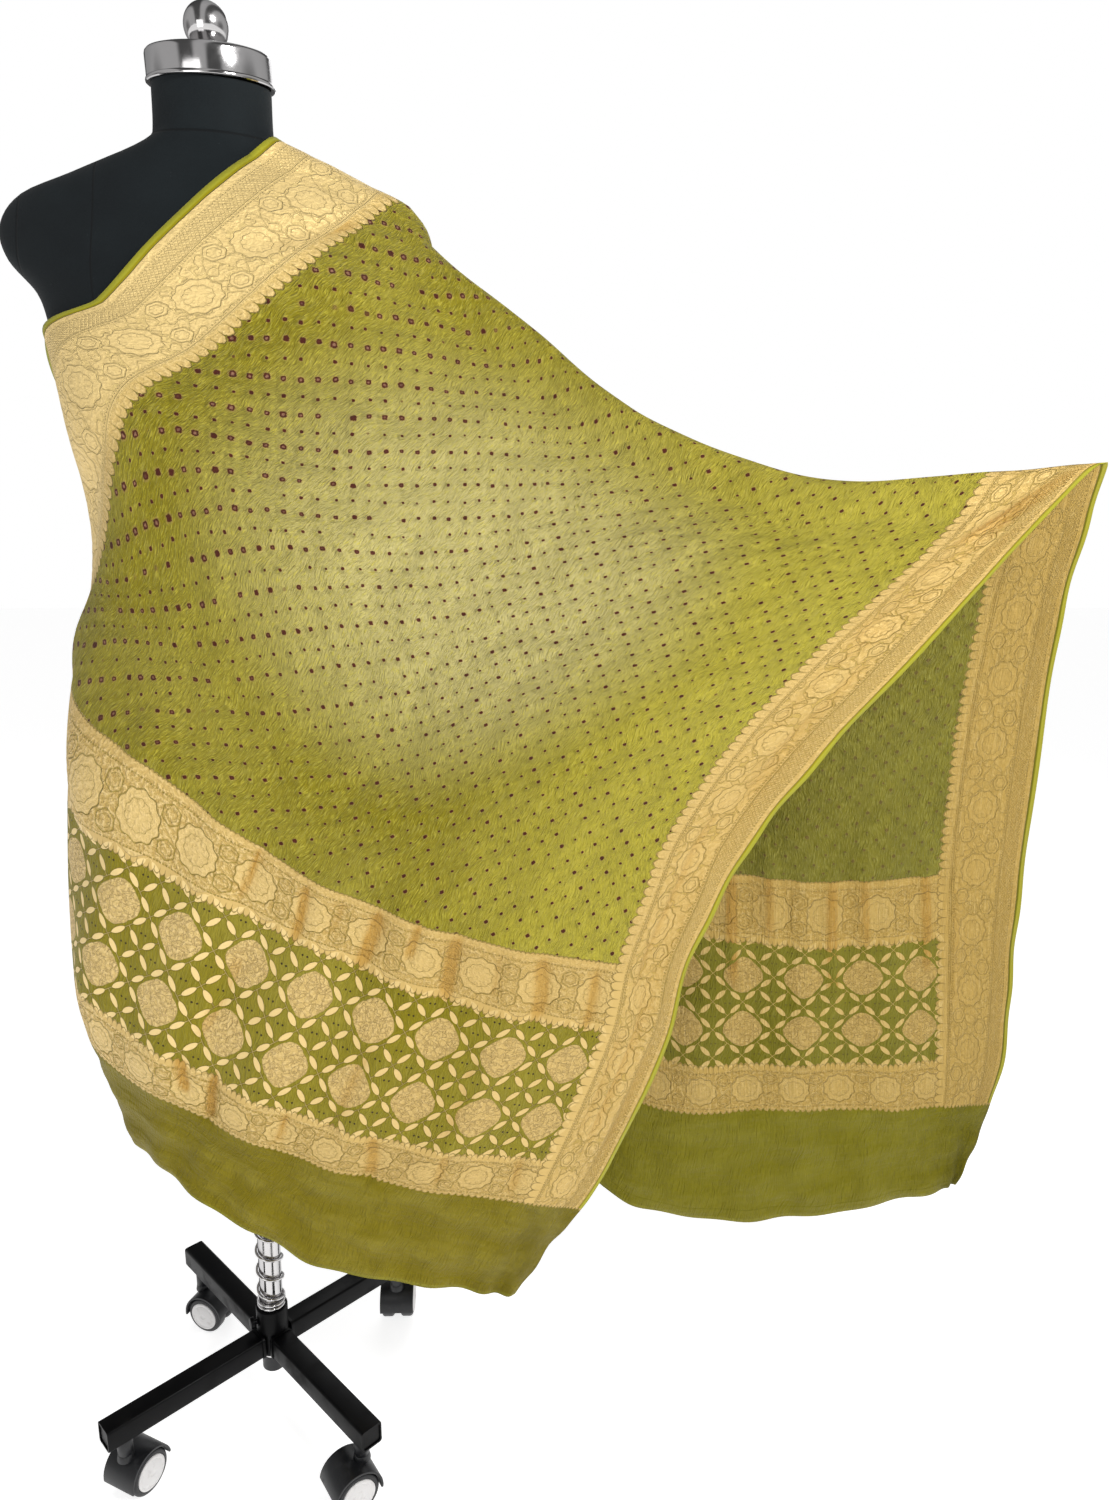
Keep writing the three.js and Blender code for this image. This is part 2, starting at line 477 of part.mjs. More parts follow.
function clothGeometry() {
  const alongSteps = steps(alongKnots, (along) => (along > 800 && along < 1300 ? CELL_AT_FOLD : CELL_ALONG));
  const acrossSteps = steps(acrossKnots, () => CELL_ACROSS);
  const rows = alongSteps.length;
  const columns = acrossSteps.length;
  const grid = alongSteps.map((along) => acrossSteps.map((across) => clothPoint(along, across)));
  const outward = (r, c) => {
    const upper = grid[Math.min(r + 1, rows - 1)][c].clone().sub(grid[Math.max(r - 1, 0)][c]);
    const right = grid[r][Math.min(c + 1, columns - 1)].clone().sub(grid[r][Math.max(c - 1, 0)]);
    return right.cross(upper).normalize();
  };
  const points = [];
  for (const half of [CLOTH_THICK / 2, -CLOTH_THICK / 2]) {
    for (let r = 0; r < rows; r += 1) {
      for (let c = 0; c < columns; c += 1) {
        points.push(...grid[r][c].clone().addScaledVector(outward(r, c), half).toArray());
      }
    }
  }
  const at = (r, c, side) => side * rows * columns + r * columns + c;
  const faces = [];
  const quad = (a, b, c, d) => faces.push(a, b, c, a, c, d);
  for (let r = 0; r + 1 < rows; r += 1) {
    for (let c = 0; c + 1 < columns; c += 1) {
      quad(at(r, c, 0), at(r, c + 1, 0), at(r + 1, c + 1, 0), at(r + 1, c, 0));
      quad(at(r, c, 1), at(r + 1, c, 1), at(r + 1, c + 1, 1), at(r, c + 1, 1));
    }
    quad(at(r, 0, 0), at(r + 1, 0, 0), at(r + 1, 0, 1), at(r, 0, 1));
    quad(at(r, columns - 1, 0), at(r, columns - 1, 1), at(r + 1, columns - 1, 1), at(r + 1, columns - 1, 0));
  }
  for (let c = 0; c + 1 < columns; c += 1) {
    quad(at(0, c, 0), at(0, c, 1), at(0, c + 1, 1), at(0, c + 1, 0));
    quad(at(rows - 1, c, 0), at(rows - 1, c + 1, 0), at(rows - 1, c + 1, 1), at(rows - 1, c, 1));
  }
  const geometry = new THREE.BufferGeometry();
  geometry.setAttribute('position', new THREE.Float32BufferAttribute(points, 3));
  geometry.setIndex(faces);
  geometry.computeVertexNormals();
  return geometry;
}

piece('cloth', clothGeometry(), silk);

// ---- origin at the middle of the bottom of the whole thing ----------------------------------------------------------
const whole = new THREE.Group();
whole.add(object);
object.updateMatrixWorld(true);
const box = new THREE.Box3().setFromObject(object, true);
const centre = box.getCenter(new THREE.Vector3());
object.position.set(-centre.x, -centre.y, -box.min.z);

export default whole;
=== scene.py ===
"""A bandhani dupatta hung over a dress form on a castor stand."""

import math

import bpy
import bmesh
import numpy as np
from mathutils import Matrix, Vector


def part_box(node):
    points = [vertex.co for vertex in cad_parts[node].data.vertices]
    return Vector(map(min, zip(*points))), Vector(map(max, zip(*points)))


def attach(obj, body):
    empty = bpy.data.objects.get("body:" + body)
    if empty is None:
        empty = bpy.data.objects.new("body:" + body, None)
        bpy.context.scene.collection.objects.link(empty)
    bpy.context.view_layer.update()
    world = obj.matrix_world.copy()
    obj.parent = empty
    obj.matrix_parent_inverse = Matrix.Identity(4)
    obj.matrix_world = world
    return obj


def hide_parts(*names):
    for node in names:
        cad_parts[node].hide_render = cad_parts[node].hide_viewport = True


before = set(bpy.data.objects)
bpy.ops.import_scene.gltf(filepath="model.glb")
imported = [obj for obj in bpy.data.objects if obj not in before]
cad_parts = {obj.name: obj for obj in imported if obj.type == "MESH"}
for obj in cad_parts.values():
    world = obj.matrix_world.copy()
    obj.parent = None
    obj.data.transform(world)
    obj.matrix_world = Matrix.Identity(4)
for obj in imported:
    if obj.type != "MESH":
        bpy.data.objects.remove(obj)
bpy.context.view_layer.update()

# ---- Where it is seen from ----
# The camera stands about a metre in front of the cloth, a little to the right of the post and a metre up.
# The view and the room are in metres and the rest is in millimetres, from the foot of the post's axis. The
# hub's box gives that foot.
CAMERA_PLACE, CAMERA_DOWN, CAMERA_LENS = (0.350, -1.106, 1.083), 12.49, 24.96
hub_low, hub_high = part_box("hub")
post_foot = Vector(((hub_low[0] + hub_high[0]) / 2, (hub_low[1] + hub_high[1]) / 2, 0))

camera_data = bpy.data.cameras.new("view")
camera_data.sensor_width = 36
camera_data.lens = CAMERA_LENS


def placed(name, data):
    """A new object that is part of the scene."""
    item = bpy.data.objects.new(name, data)
    bpy.context.scene.collection.objects.link(item)
    return item


camera = placed("view", camera_data)
camera.location = post_foot + Vector(CAMERA_PLACE)
camera.rotation_euler = (math.radians(90 - CAMERA_DOWN), 0, 0)
bpy.context.scene.camera = camera

# ---- Room ----
# A plain pale floor in a white room, and three panels of light: a small key panel high at the front right, a
# wide one low at the front left that fills the shadows, and the widest high behind.
FLOOR_HALF, FLOOR_GLOW = 12, 0.8
BAND_RATE, BAND_SHIFT = 8.0, 1.6
BAND_WAVE, BAND_LIGHT = (-0.3, 0.4), (0.08, 0.44)

# Panel name, place and aim, width, height and watts.
PANELS = [
    ("key", (1.5, -1.25, 2.15), (0.1, 0, 0.95), 0.5, 0.5, 31),
    ("fill", (-0.6, -2.2, 1.2), (0.1, 0, 0.9), 1.2, 1.2, 9),
    ("back", (0.4, 2.6, 2.4), (0.1, 0, 0.9), 1.8, 1.4, 14),
]
view_settings = bpy.context.scene.view_settings
view_settings.view_transform = "Standard"


def dye(red, green, blue):
    """A colour as an eye reads it, 0 to 255, turned into linear light."""
    parts = [c / 255 for c in (red, green, blue)]
    return tuple(c / 12.92 if c <= 0.04045 else ((c + 0.055) / 1.055) ** 2.4 for c in parts) + (1,)


floor_mesh = bpy.data.meshes.new("floor")
floor_corners = [(x * FLOOR_HALF, y * FLOOR_HALF, 0) for x, y in ((-1, -1), (1, -1), (1, 1), (-1, 1))]
floor_mesh.from_pydata(floor_corners, [], [(0, 1, 2, 3)])
floor = placed("floor", floor_mesh)
floor_paint = bpy.data.materials.new("floor_paint")
floor_paint.use_nodes = True
floor_shader = floor_paint.node_tree.nodes["Principled BSDF"]
floor_shader.inputs["Base Color"].default_value = dye(214, 214, 214)
floor_shader.inputs["Emission Color"].default_value = dye(255, 255, 255)
floor_shader.inputs["Emission Strength"].default_value = FLOOR_GLOW
floor_shader.inputs["Roughness"].default_value = 0.9
floor_shader.inputs["Specular IOR Level"].default_value = 0.1
floor_mesh.materials.append(floor_paint)

# The room is white to look at. The light it gives is dimmer, in bright and dim bands like a room's walls.
world = bpy.data.worlds.new("room")
world.use_nodes = True
room_nodes, room_links = world.node_tree.nodes, world.node_tree.links
room_nodes["Background"].inputs["Color"].default_value = dye(255, 255, 255)
facing = room_nodes.new("ShaderNodeTexCoord")
split = room_nodes.new("ShaderNodeSeparateXYZ")
walls = room_nodes.new("ShaderNodeMath")
walls.operation = "MULTIPLY_ADD"
walls.inputs[1].default_value = BAND_RATE
walls.inputs[2].default_value = BAND_SHIFT
wave = room_nodes.new("ShaderNodeMath")
wave.operation = "SINE"
banded = room_nodes.new("ShaderNodeMapRange")
for socket, value in zip(("From Min", "From Max", "To Min", "To Max"), BAND_WAVE + BAND_LIGHT):
    banded.inputs[socket].default_value = value
seen = room_nodes.new("ShaderNodeLightPath")
strength = room_nodes.new("ShaderNodeMix")
strength.inputs[3].default_value = 1.0
for source, target in ((facing.outputs["Generated"], split.inputs[0]), (split.outputs["X"], walls.inputs[0]),
                       (walls.outputs[0], wave.inputs[0]), (wave.outputs[0], banded.inputs["Value"]),
                       (banded.outputs["Result"], strength.inputs[2]),
                       (seen.outputs["Is Camera Ray"], strength.inputs[0]),
                       (strength.outputs[0], room_nodes["Background"].inputs["Strength"])):
    room_links.new(source, target)
bpy.context.scene.world = world

for name, place, aim, width, height, watts in PANELS:
    lamp = bpy.data.lights.new(name, "AREA")
    lamp.shape = "RECTANGLE"
    lamp.size, lamp.size_y, lamp.energy = width, height, watts
    panel = placed(name, lamp)
    panel.location = post_foot + Vector(place)
    panel.rotation_euler = (Vector(aim) - Vector(place)).to_track_quat("-Z", "Y").to_euler()


# ---- Finishes, shapes and pieces ----
# What the sections below share. A finish is written as sums, in which each step stands for a node. A shape is
# points and faces in millimetres, and add_piece puts it in place.
class Amount:
    """A number that runs through a finish's nodes and can be added, scaled and compared like a plain one."""

    def __init__(self, finish, socket):
        self.finish, self.socket = finish, socket

    def op(self, kind, *others):
        return self.finish.maths(kind, self, *others)

    def __add__(self, other):
        return self.op("ADD", other)

    def __sub__(self, other):
        return self.op("SUBTRACT", other)

    def __rsub__(self, other):
        return self.finish.maths("SUBTRACT", other, self)

    def __mul__(self, other):
        return self.op("MULTIPLY", other)

    def __truediv__(self, other):
        return self.op("DIVIDE", other)

    def __abs__(self):
        return self.op("ABSOLUTE")

    __radd__, __rmul__ = __add__, __mul__

    def least(self, other):
        return self.op("MINIMUM", other)

    def most(self, other):
        return self.op("MAXIMUM", other)

    def over(self, low, high):
        """0 below low, 1 above high, smooth between them."""
        node = self.finish.add("ShaderNodeMapRange", interpolation_type="SMOOTHSTEP")
        self.finish.feed(node, {"Value": self, "From Min": low, "From Max": high})
        return Amount(self.finish, node.outputs["Result"])

    def near(self, middle, half, soft=0.3):
        """1 within half of the middle and 0 outside it."""
        return 1 - abs(self - middle).over(half - soft, half + soft)

    def cell(self, pitch):
        """Number of the cell that this falls in, and how far it is from that cell's middle."""
        number = (self / pitch + 0.5).op("FLOOR")
        return number, self - number * pitch


class Finish:
    """One finish: a Principled shader with constants on its own sockets, and the nodes that feed the rest."""

    def __init__(self, name, **constants):
        self.material = bpy.data.materials.new(name)
        self.material.use_nodes = True
        self.tree = self.material.node_tree
        self.shader = self.tree.nodes["Principled BSDF"]
        for socket, value in constants.items():
            self.shader.inputs[socket.replace("_", " ")].default_value = value

    def add(self, kind, **settings):
        node = self.tree.nodes.new(kind)
        for name, value in settings.items():
            setattr(node, name, value)
        return node

    def feed(self, node, values):
        for name, value in values.items():
            if isinstance(value, Amount):
                self.tree.links.new(value.socket, node.inputs[name])
            else:
                node.inputs[name].default_value = value
        return node

    def maths(self, kind, *values):
        node = self.feed(self.add("ShaderNodeMath", operation=kind), dict(enumerate(values)))
        return Amount(self, node.outputs[0])

    def point(self, x, y, z=0):
        return Amount(self, self.feed(self.add("ShaderNodeCombineXYZ"), {0: x, 1: y, 2: z}).outputs[0])

    def parts(self, vector):
        node = self.feed(self.add("ShaderNodeSeparateXYZ"), {0: vector})
        return [Amount(self, output) for output in node.outputs]

    def flat(self, name):
        return Amount(self, self.add("ShaderNodeUVMap", uv_map=name).outputs[0])

    def place(self):
        return Amount(self, self.add("ShaderNodeTexCoord").outputs["Object"])

    def cloudy(self, vector, scale=1.0, detail=3, rough=0.5):
        node = self.feed(self.add("ShaderNodeTexNoise"), {"Vector": vector, "Scale": scale, "Detail": detail,
                                                          "Roughness": rough})
        return Amount(self, node.outputs["Fac"])

    def chance(self, vector):
        """Three numbers between 0 and 1 that belong to a cell."""
        node = self.feed(self.add("ShaderNodeTexWhiteNoise", noise_dimensions="3D"), {"Vector": vector})
        parts = self.add("ShaderNodeSeparateColor")
        self.tree.links.new(node.outputs["Color"], parts.inputs[0])
        return [Amount(self, output) for output in parts.outputs]

    def mix(self, amount, under, over):
        """A colour between two others."""
        node = self.add("ShaderNodeMix", data_type="RGBA")
        for socket, value in ((node.inputs[0], amount), (node.inputs[6], under), (node.inputs[7], over)):
            if isinstance(value, Amount):
                self.tree.links.new(value.socket, socket)
            else:
                socket.default_value = value
        return Amount(self, node.outputs[2])

    def finish(self, bump=None, depth=0.001, strength=1.0, **varied):
        """Feeds the shader's varied sockets, and its bump from a height between 0 and 1."""
        self.feed(self.shader, {name.replace("_", " "): value for name, value in varied.items()})
        if bump is not None:
            node = self.add("ShaderNodeBump")
            self.feed(node, {"Height": bump, "Distance": depth, "Strength": strength})
            self.tree.links.new(node.outputs[0], self.shader.inputs["Normal"])
        return self.material


def add_piece(name, shape, matrix, material, nodes=(), sharp=35):
    """A shape put in place by a matrix, which stands for the solids whose nodes it is given."""
    points, faces = shape
    mesh = bpy.data.meshes.new(name)
    mesh.from_pydata([tuple(post_foot + matrix @ Vector(p) / 1000) for p in points], [], faces)
    mesh.materials.append(material)
    mesh.shade_smooth()
    mesh.set_sharp_from_angle(angle=math.radians(sharp))
    piece = placed(name, mesh)
    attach(piece, "root")
    if nodes:
        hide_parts(*nodes)
    return piece


def square_tube(size, corner, start, end, wall):
    """A rounded square tube along X with a cap set just inside its far end."""
    ring = []
    for quarter in range(4):
        for step in range(5):
            turn = math.pi / 2 * (quarter + step / 4)
            middle = Vector((size / 2 - corner, size / 2 - corner))
            middle.rotate(Matrix.Rotation(math.pi / 2 * quarter, 2))
            ring.append((middle.x + corner * math.cos(turn), middle.y + corner * math.sin(turn)))
    count = len(ring)
    shrink = 1 - 2 * wall / size
    rows = [(start, 1.0), (end - 0.6, 1.0), (end, 0.985), (end, shrink), (end - 1.5, shrink)]
    points = [(x, y * k, z * k) for x, k in rows for y, z in ring]
    faces = []
    for low in range(0, (len(rows) - 1) * count, count):
        high = low + count
        faces += [(low + i, high + i, high + (i + 1) % count, low + (i + 1) % count) for i in range(count)]
    faces.append(tuple(range(count)))
    faces.append(tuple(reversed(range((len(rows) - 1) * count, len(rows) * count))))
    return points, [tuple(reversed(face)) for face in faces]


def lathe(profile, sides=48):
    """A closed turned shape about Z, from (radius, height) pairs that start and end on the axis."""
    inner = profile[1:-1]
    turns = [2 * math.pi * i / sides for i in range(sides)]
    points = [(0, 0, profile[0][1])]
    for radius, height in inner:
        points += [(radius * math.cos(t), radius * math.sin(t), height) for t in turns]
    points.append((0, 0, profile[-1][1]))
    faces = []
    for i in range(sides):
        j = (i + 1) % sides
        faces.append((0, 1 + j, 1 + i))
        for r in range(len(inner) - 1):
            a, b = 1 + r * sides, 1 + (r + 1) * sides
            faces.append((a + i, a + j, b + j, b + i))
        faces.append((len(points) - 1, len(points) - 1 - sides + i, len(points) - 1 - sides + j))
    return points, faces


# ---- Cross base ----
# Four square steel tubes welded to a collar, enamelled black. The tubes' far ends are closed with flat caps.
# The enamel is nearly black, with dust in patches. A clamp screw in the collar's side holds the post.
def black_enamel():
    enamel = Finish("black_enamel", Coat_Weight=0.03, Coat_Roughness=0.2, Specular_IOR_Level=0.12)
    place = enamel.place()
    dust = enamel.cloudy(place, 38, 4).over(0.45, 0.8)
    orange_peel = enamel.cloudy(place, 900, 2)
    colour = enamel.mix(dust * 0.2, dye(4, 4, 5), dye(30, 29, 28))
    return enamel.finish(bump=orange_peel, depth=0.0002, strength=0.25, Base_Color=colour,
                         Roughness=0.42 + dust * 0.3)


enamel = black_enamel()

HUB_RADIUS, HUB_LOW, HUB_HIGH = 19, 78, 138
ARM_TUBE, ARM_CORNER, ARM_TOP, ARM_REACH = 26, 3, 106, 210
WELD_PROUD, WELD_REACH = 1.5, 2.4
SCREW_UP, SCREW_TURN = 121, -148
SCREW = [(0, 0), (3, 0), (3, 5), (6.2, 5), (6.8, 5.8), (6.8, 9), (6, 10.2), (3, 10.8), (0, 10.9)]

# The collar, the post and the form lean to the right by LEAN radians, about the arms' middle.
HUB_PIVOT, LEAN = 93, 0.0165
lean_turn = Matrix.Translation((-LEAN * HUB_PIVOT, 0, 0)) @ Matrix.Rotation(LEAN, 4, "Y")

# Which way each arm runs from the hub and which way its castor's wheels trail, in degrees.
ARMS = [(1, 225, 65), (2, 315, 215), (3, 45, 92), (4, 135, -20)]


def arm_turn(runs):
    """Lays a shape that runs along X out along an arm."""
    return Matrix.Translation((0, 0, ARM_TOP - ARM_TUBE / 2)) @ Matrix.Rotation(math.radians(runs), 4, "Z")


tube = square_tube(ARM_TUBE, ARM_CORNER, HUB_RADIUS + 0.6, ARM_REACH, 2)
for number, runs, _ in ARMS:
    add_piece(f"arm_tube_{number}", tube, arm_turn(runs), enamel, [f"arm_{number}"])

collar = lathe([(0, HUB_LOW), (HUB_RADIUS - 1, HUB_LOW), (HUB_RADIUS, HUB_LOW + 1),
                (HUB_RADIUS, HUB_HIGH - 1.2), (HUB_RADIUS - 0.4, HUB_HIGH - 0.4),
                (HUB_RADIUS - 1.2, HUB_HIGH), (0, HUB_HIGH)])
add_piece("hub_collar", collar, lean_turn, enamel, ["hub"])

bead = square_tube(ARM_TUBE + 2 * WELD_PROUD, ARM_CORNER + WELD_PROUD, HUB_RADIUS - 1,
                   HUB_RADIUS + WELD_REACH, 1)
for number, runs, _ in ARMS:
    add_piece(f"weld_bead_{number}", bead, arm_turn(runs), enamel)

screw_turn = lean_turn @ Matrix.Translation((0, 0, SCREW_UP)) \
    @ Matrix.Rotation(math.radians(SCREW_TURN), 4, "Z") \
    @ Matrix.Translation((HUB_RADIUS - 2, 0, 0)) @ Matrix.Rotation(math.pi / 2, 4, "Y")
add_piece("clamp_screw", lathe(SCREW, 28), screw_turn, enamel)

# ---- Castors ----
# Twin-wheel castors of moulded nylon: a hood over two wheels on one axle, with a grey disc pressed into each
# wheel. A steel stem in a black sleeve goes up into the end of the arm.
WHEEL_RADIUS, WHEEL_NEAR, WHEEL_FAR, WHEEL_ROUND = 25, 4.5, 21, 4
CASTOR_REACH, TRAIL = 188, 14
HOOD_INNER, HOOD_OUTER, HOOD_HALF, WEB_HALF = 26.4, 29, 22.5, 4
HOOD_STEPS, HOOD_ROUND = 22, 0.7
HOOD_START, HOOD_END = math.radians(8), math.radians(188)
WEB_FOOT, WEB_LOW = 13, -12
DISC_RADIUS = 19
BOSS_RADIUS, BOSS_TOP, BOSS_TALL = 8.5, 58, 8
STEM_RADIUS, COLLAR_RADIUS, SLEEVE_RADIUS = 5.5, 7.6, 8.6


def moulded_nylon(name, dark, light, rough):
    nylon = Finish(name)
    place = nylon.place()
    scuff = nylon.cloudy(place, 120, 4, 0.6).over(0.5, 0.78)
    return nylon.finish(bump=nylon.cloudy(place, 1500, 2), depth=0.0002, strength=0.3,
                        Base_Color=nylon.mix(scuff * 0.6, dark, light), Roughness=rough + scuff * 0.2)


black_nylon = moulded_nylon("black_nylon", dye(17, 18, 21), dye(48, 48, 51), 0.42)
grey_nylon = moulded_nylon("grey_nylon", dye(224, 222, 221), dye(190, 186, 184), 0.42)


def bright_steel():
    steel = Finish("bright_steel", Metallic=1.0)
    place = steel.place()
    x, y, z = steel.parts(place)
    drawn = steel.cloudy(steel.point(x * 60, y * 60, z * 900), 1, 2)
    smudge = steel.cloudy(place, 45, 3).over(0.4, 0.75)
    # Painted reflection: the steel's colour darkens where its surface turns away from the view, like a dark
    # room mirrored.
    edge = steel.add("ShaderNodeLayerWeight")
    edge.inputs["Blend"].default_value = 0.35
    painted_dark_reflection = Amount(steel, edge.outputs["Facing"]).over(0.25, 0.95)
    colour = steel.mix(painted_dark_reflection, dye(214, 212, 212), dye(92, 92, 96))
    return steel.finish(bump=drawn, depth=0.0001, strength=0.08, Base_Color=colour,
                        Roughness=0.1 + smudge * 0.14)


chrome = bright_steel()


def hood_shape():
    """The castor's hood, web and boss, along X on the axle and Y the way the wheels trail."""
    whole = bmesh.new()
    turns = [HOOD_START + (HOOD_END - HOOD_START) * k / HOOD_STEPS for k in range(HOOD_STEPS + 1)]
    outer = [(HOOD_OUTER * math.cos(t), HOOD_OUTER * math.sin(t)) for t in turns]
    inner = [(y * HOOD_INNER / HOOD_OUTER, z * HOOD_INNER / HOOD_OUTER) for y, z in outer]
    arch = []
    for x in (-HOOD_HALF, HOOD_HALF):
        arch.append([whole.verts.new((x, y + TRAIL, z + WHEEL_RADIUS)) for y, z in outer + inner[::-1]])
    count = len(arch[0])
    for k in range(count):
        m = (k + 1) % count
        whole.faces.new((arch[0][k], arch[0][m], arch[1][m], arch[1][k]))
    for side in arch:
        for k in range(HOOD_STEPS):
            whole.faces.new((side[k], side[k + 1], side[count - 2 - k], side[count - 1 - k]))
    web = [(HOOD_INNER * math.cos(t), HOOD_INNER * math.sin(t)) for t in turns]
    web += [(-WEB_FOOT, WEB_LOW), (WEB_FOOT, WEB_LOW)]
    sheets = [[whole.verts.new((x, y + TRAIL, z + WHEEL_RADIUS)) for y, z in web]
              for x in (-WEB_HALF, WEB_HALF)]
    for k in range(len(web)):
        m = (k + 1) % len(web)
        whole.faces.new((sheets[0][k], sheets[0][m], sheets[1][m], sheets[1][k]))
    whole.faces.new(sheets[0])
    whole.faces.new(sheets[1])
    boss = bmesh.ops.create_cone(whole, cap_ends=True, segments=32, radius1=BOSS_RADIUS + 1.5,
                                 radius2=BOSS_RADIUS, depth=BOSS_TALL)["verts"]
    bmesh.ops.translate(whole, verts=boss, vec=(0, 0, BOSS_TOP - BOSS_TALL / 2))
    bmesh.ops.recalc_face_normals(whole, faces=whole.faces)
    rims = [e for e in whole.edges if e.is_manifold and e.calc_face_angle(0) > math.radians(60)]
    bmesh.ops.bevel(whole, geom=rims, offset=HOOD_ROUND, segments=2, affect="EDGES", profile=0.6)
    whole.verts.index_update()
    points = [tuple(v.co) for v in whole.verts]
    faces = [tuple(v.index for v in f.verts) for f in whole.faces]
    whole.free()
    return points, faces


quarter = [math.pi / 2 * k / 5 for k in range(6)]
round_radius = WHEEL_RADIUS - WHEEL_ROUND
wheel_near = [(round_radius + WHEEL_ROUND * math.sin(t), WHEEL_NEAR + WHEEL_ROUND - WHEEL_ROUND * math.cos(t))
              for t in quarter]
wheel_far = [(round_radius + WHEEL_ROUND * math.cos(t), WHEEL_FAR - WHEEL_ROUND + WHEEL_ROUND * math.sin(t))
             for t in quarter]
recess = [(DISC_RADIUS + 0.6, WHEEL_FAR), (DISC_RADIUS + 0.4, WHEEL_FAR - 1), (0, WHEEL_FAR - 1)]
wheel = lathe([(0, WHEEL_NEAR), (8, WHEEL_NEAR)] + wheel_near + wheel_far + recess, 72)
disc_low = WHEEL_FAR - 0.9
disc = lathe([(0, disc_low), (DISC_RADIUS, disc_low), (DISC_RADIUS, WHEEL_FAR + 0.6),
              (DISC_RADIUS - 0.8, WHEEL_FAR + 1.2), (DISC_RADIUS - 3, WHEEL_FAR + 1.5),
              (DISC_RADIUS - 3.8, WHEEL_FAR + 1.1), (DISC_RADIUS - 4.6, WHEEL_FAR + 1.5),
              (9, WHEEL_FAR + 1.9), (4, WHEEL_FAR + 2.1), (3.4, WHEEL_FAR + 1.7), (0, WHEEL_FAR + 1.7)], 60)
stem_low, stem_high = BOSS_TOP + 0.3, ARM_TOP - ARM_TUBE - 0.3
stem = lathe([(0, stem_low), (7, stem_low), (COLLAR_RADIUS, stem_low + 0.6), (COLLAR_RADIUS, stem_low + 3),
              (STEM_RADIUS, stem_low + 3.6), (STEM_RADIUS, stem_high), (0, stem_high)], 32)
sleeve_low, sleeve_high = stem_low - 0.2, stem_high - 1.8
sleeve = lathe([(0, sleeve_low), (SLEEVE_RADIUS - 0.3, sleeve_low), (SLEEVE_RADIUS, stem_low + 0.4),
                (SLEEVE_RADIUS, stem_high - 2.4), (SLEEVE_RADIUS - 0.4, sleeve_high), (0, sleeve_high)], 32)
hood = hood_shape()

for number, runs, trails in ARMS:
    corner = Vector((CASTOR_REACH, 0, 0))
    corner.rotate(Matrix.Rotation(math.radians(runs), 3, "Z"))
    castor = Matrix.Translation(corner) @ Matrix.Rotation(math.radians(trails - 90), 4, "Z")
    add_piece(f"castor_hood_{number}", hood, castor, black_nylon, [f"castor_body_{number}"])
    add_piece(f"castor_pin_{number}", stem, castor, chrome, [f"castor_stem_{number}"])
    add_piece(f"castor_sleeve_{number}", sleeve, castor, black_nylon)
    axle_middle = castor @ Matrix.Translation((0, TRAIL, WHEEL_RADIUS))
    for side, turn in (("a", 90), ("b", -90)):
        axle = axle_middle @ Matrix.Rotation(math.radians(turn), 4, "Y")
        add_piece(f"castor_tread_{number}_{side}", wheel, axle, black_nylon,
                  [f"castor_wheel_{number}_{side}"])
        add_piece(f"castor_cover_{number}_{side}", disc, axle, grey_nylon,
                  [f"castor_disc_{number}_{side}"])

# ---- Post ----
# A chromed steel tube that stands in the hub's collar and carries the form.
# A black plug closes its foot.
POST_RADIUS, POST_LOW, POST_HIGH = 13.5, 52, 744.7
PLUG_PROUD, PLUG_TALL = 0.3, 19
post = lathe([(0, POST_LOW), (POST_RADIUS - 1.5, POST_LOW), (POST_RADIUS - 0.4, POST_LOW + 0.5),
              (POST_RADIUS, POST_LOW + 1.5), (POST_RADIUS, POST_HIGH), (0, POST_HIGH)])
add_piece("post_tube", post, lean_turn, chrome, ["post"])
plug_radius, plug_low, plug_high = POST_RADIUS + PLUG_PROUD, POST_LOW - 2 * PLUG_PROUD, POST_LOW + PLUG_TALL
plug = lathe([(0, plug_low), (POST_RADIUS - 0.6, plug_low), (plug_radius, POST_LOW + 0.4),
              (plug_radius, plug_high), (0, plug_high)])
add_piece("post_plug", plug, lean_turn, black_nylon)

# ---- Wire round the post ----
# Bright steel wire wound round the post: close turns against the collar and open turns above them.
# Its sizes go into a Geometry Nodes tree that sweeps a round wire along two spirals.
WIRE_RADIUS = 1.5
WINDING = {"Reach": 0.0155, "Wire Radius": WIRE_RADIUS / 1000, "Close Turns": 2.0, "Close Rise": 0.0096,
           "Open Turns": 4.2, "Open Rise": 0.1134}


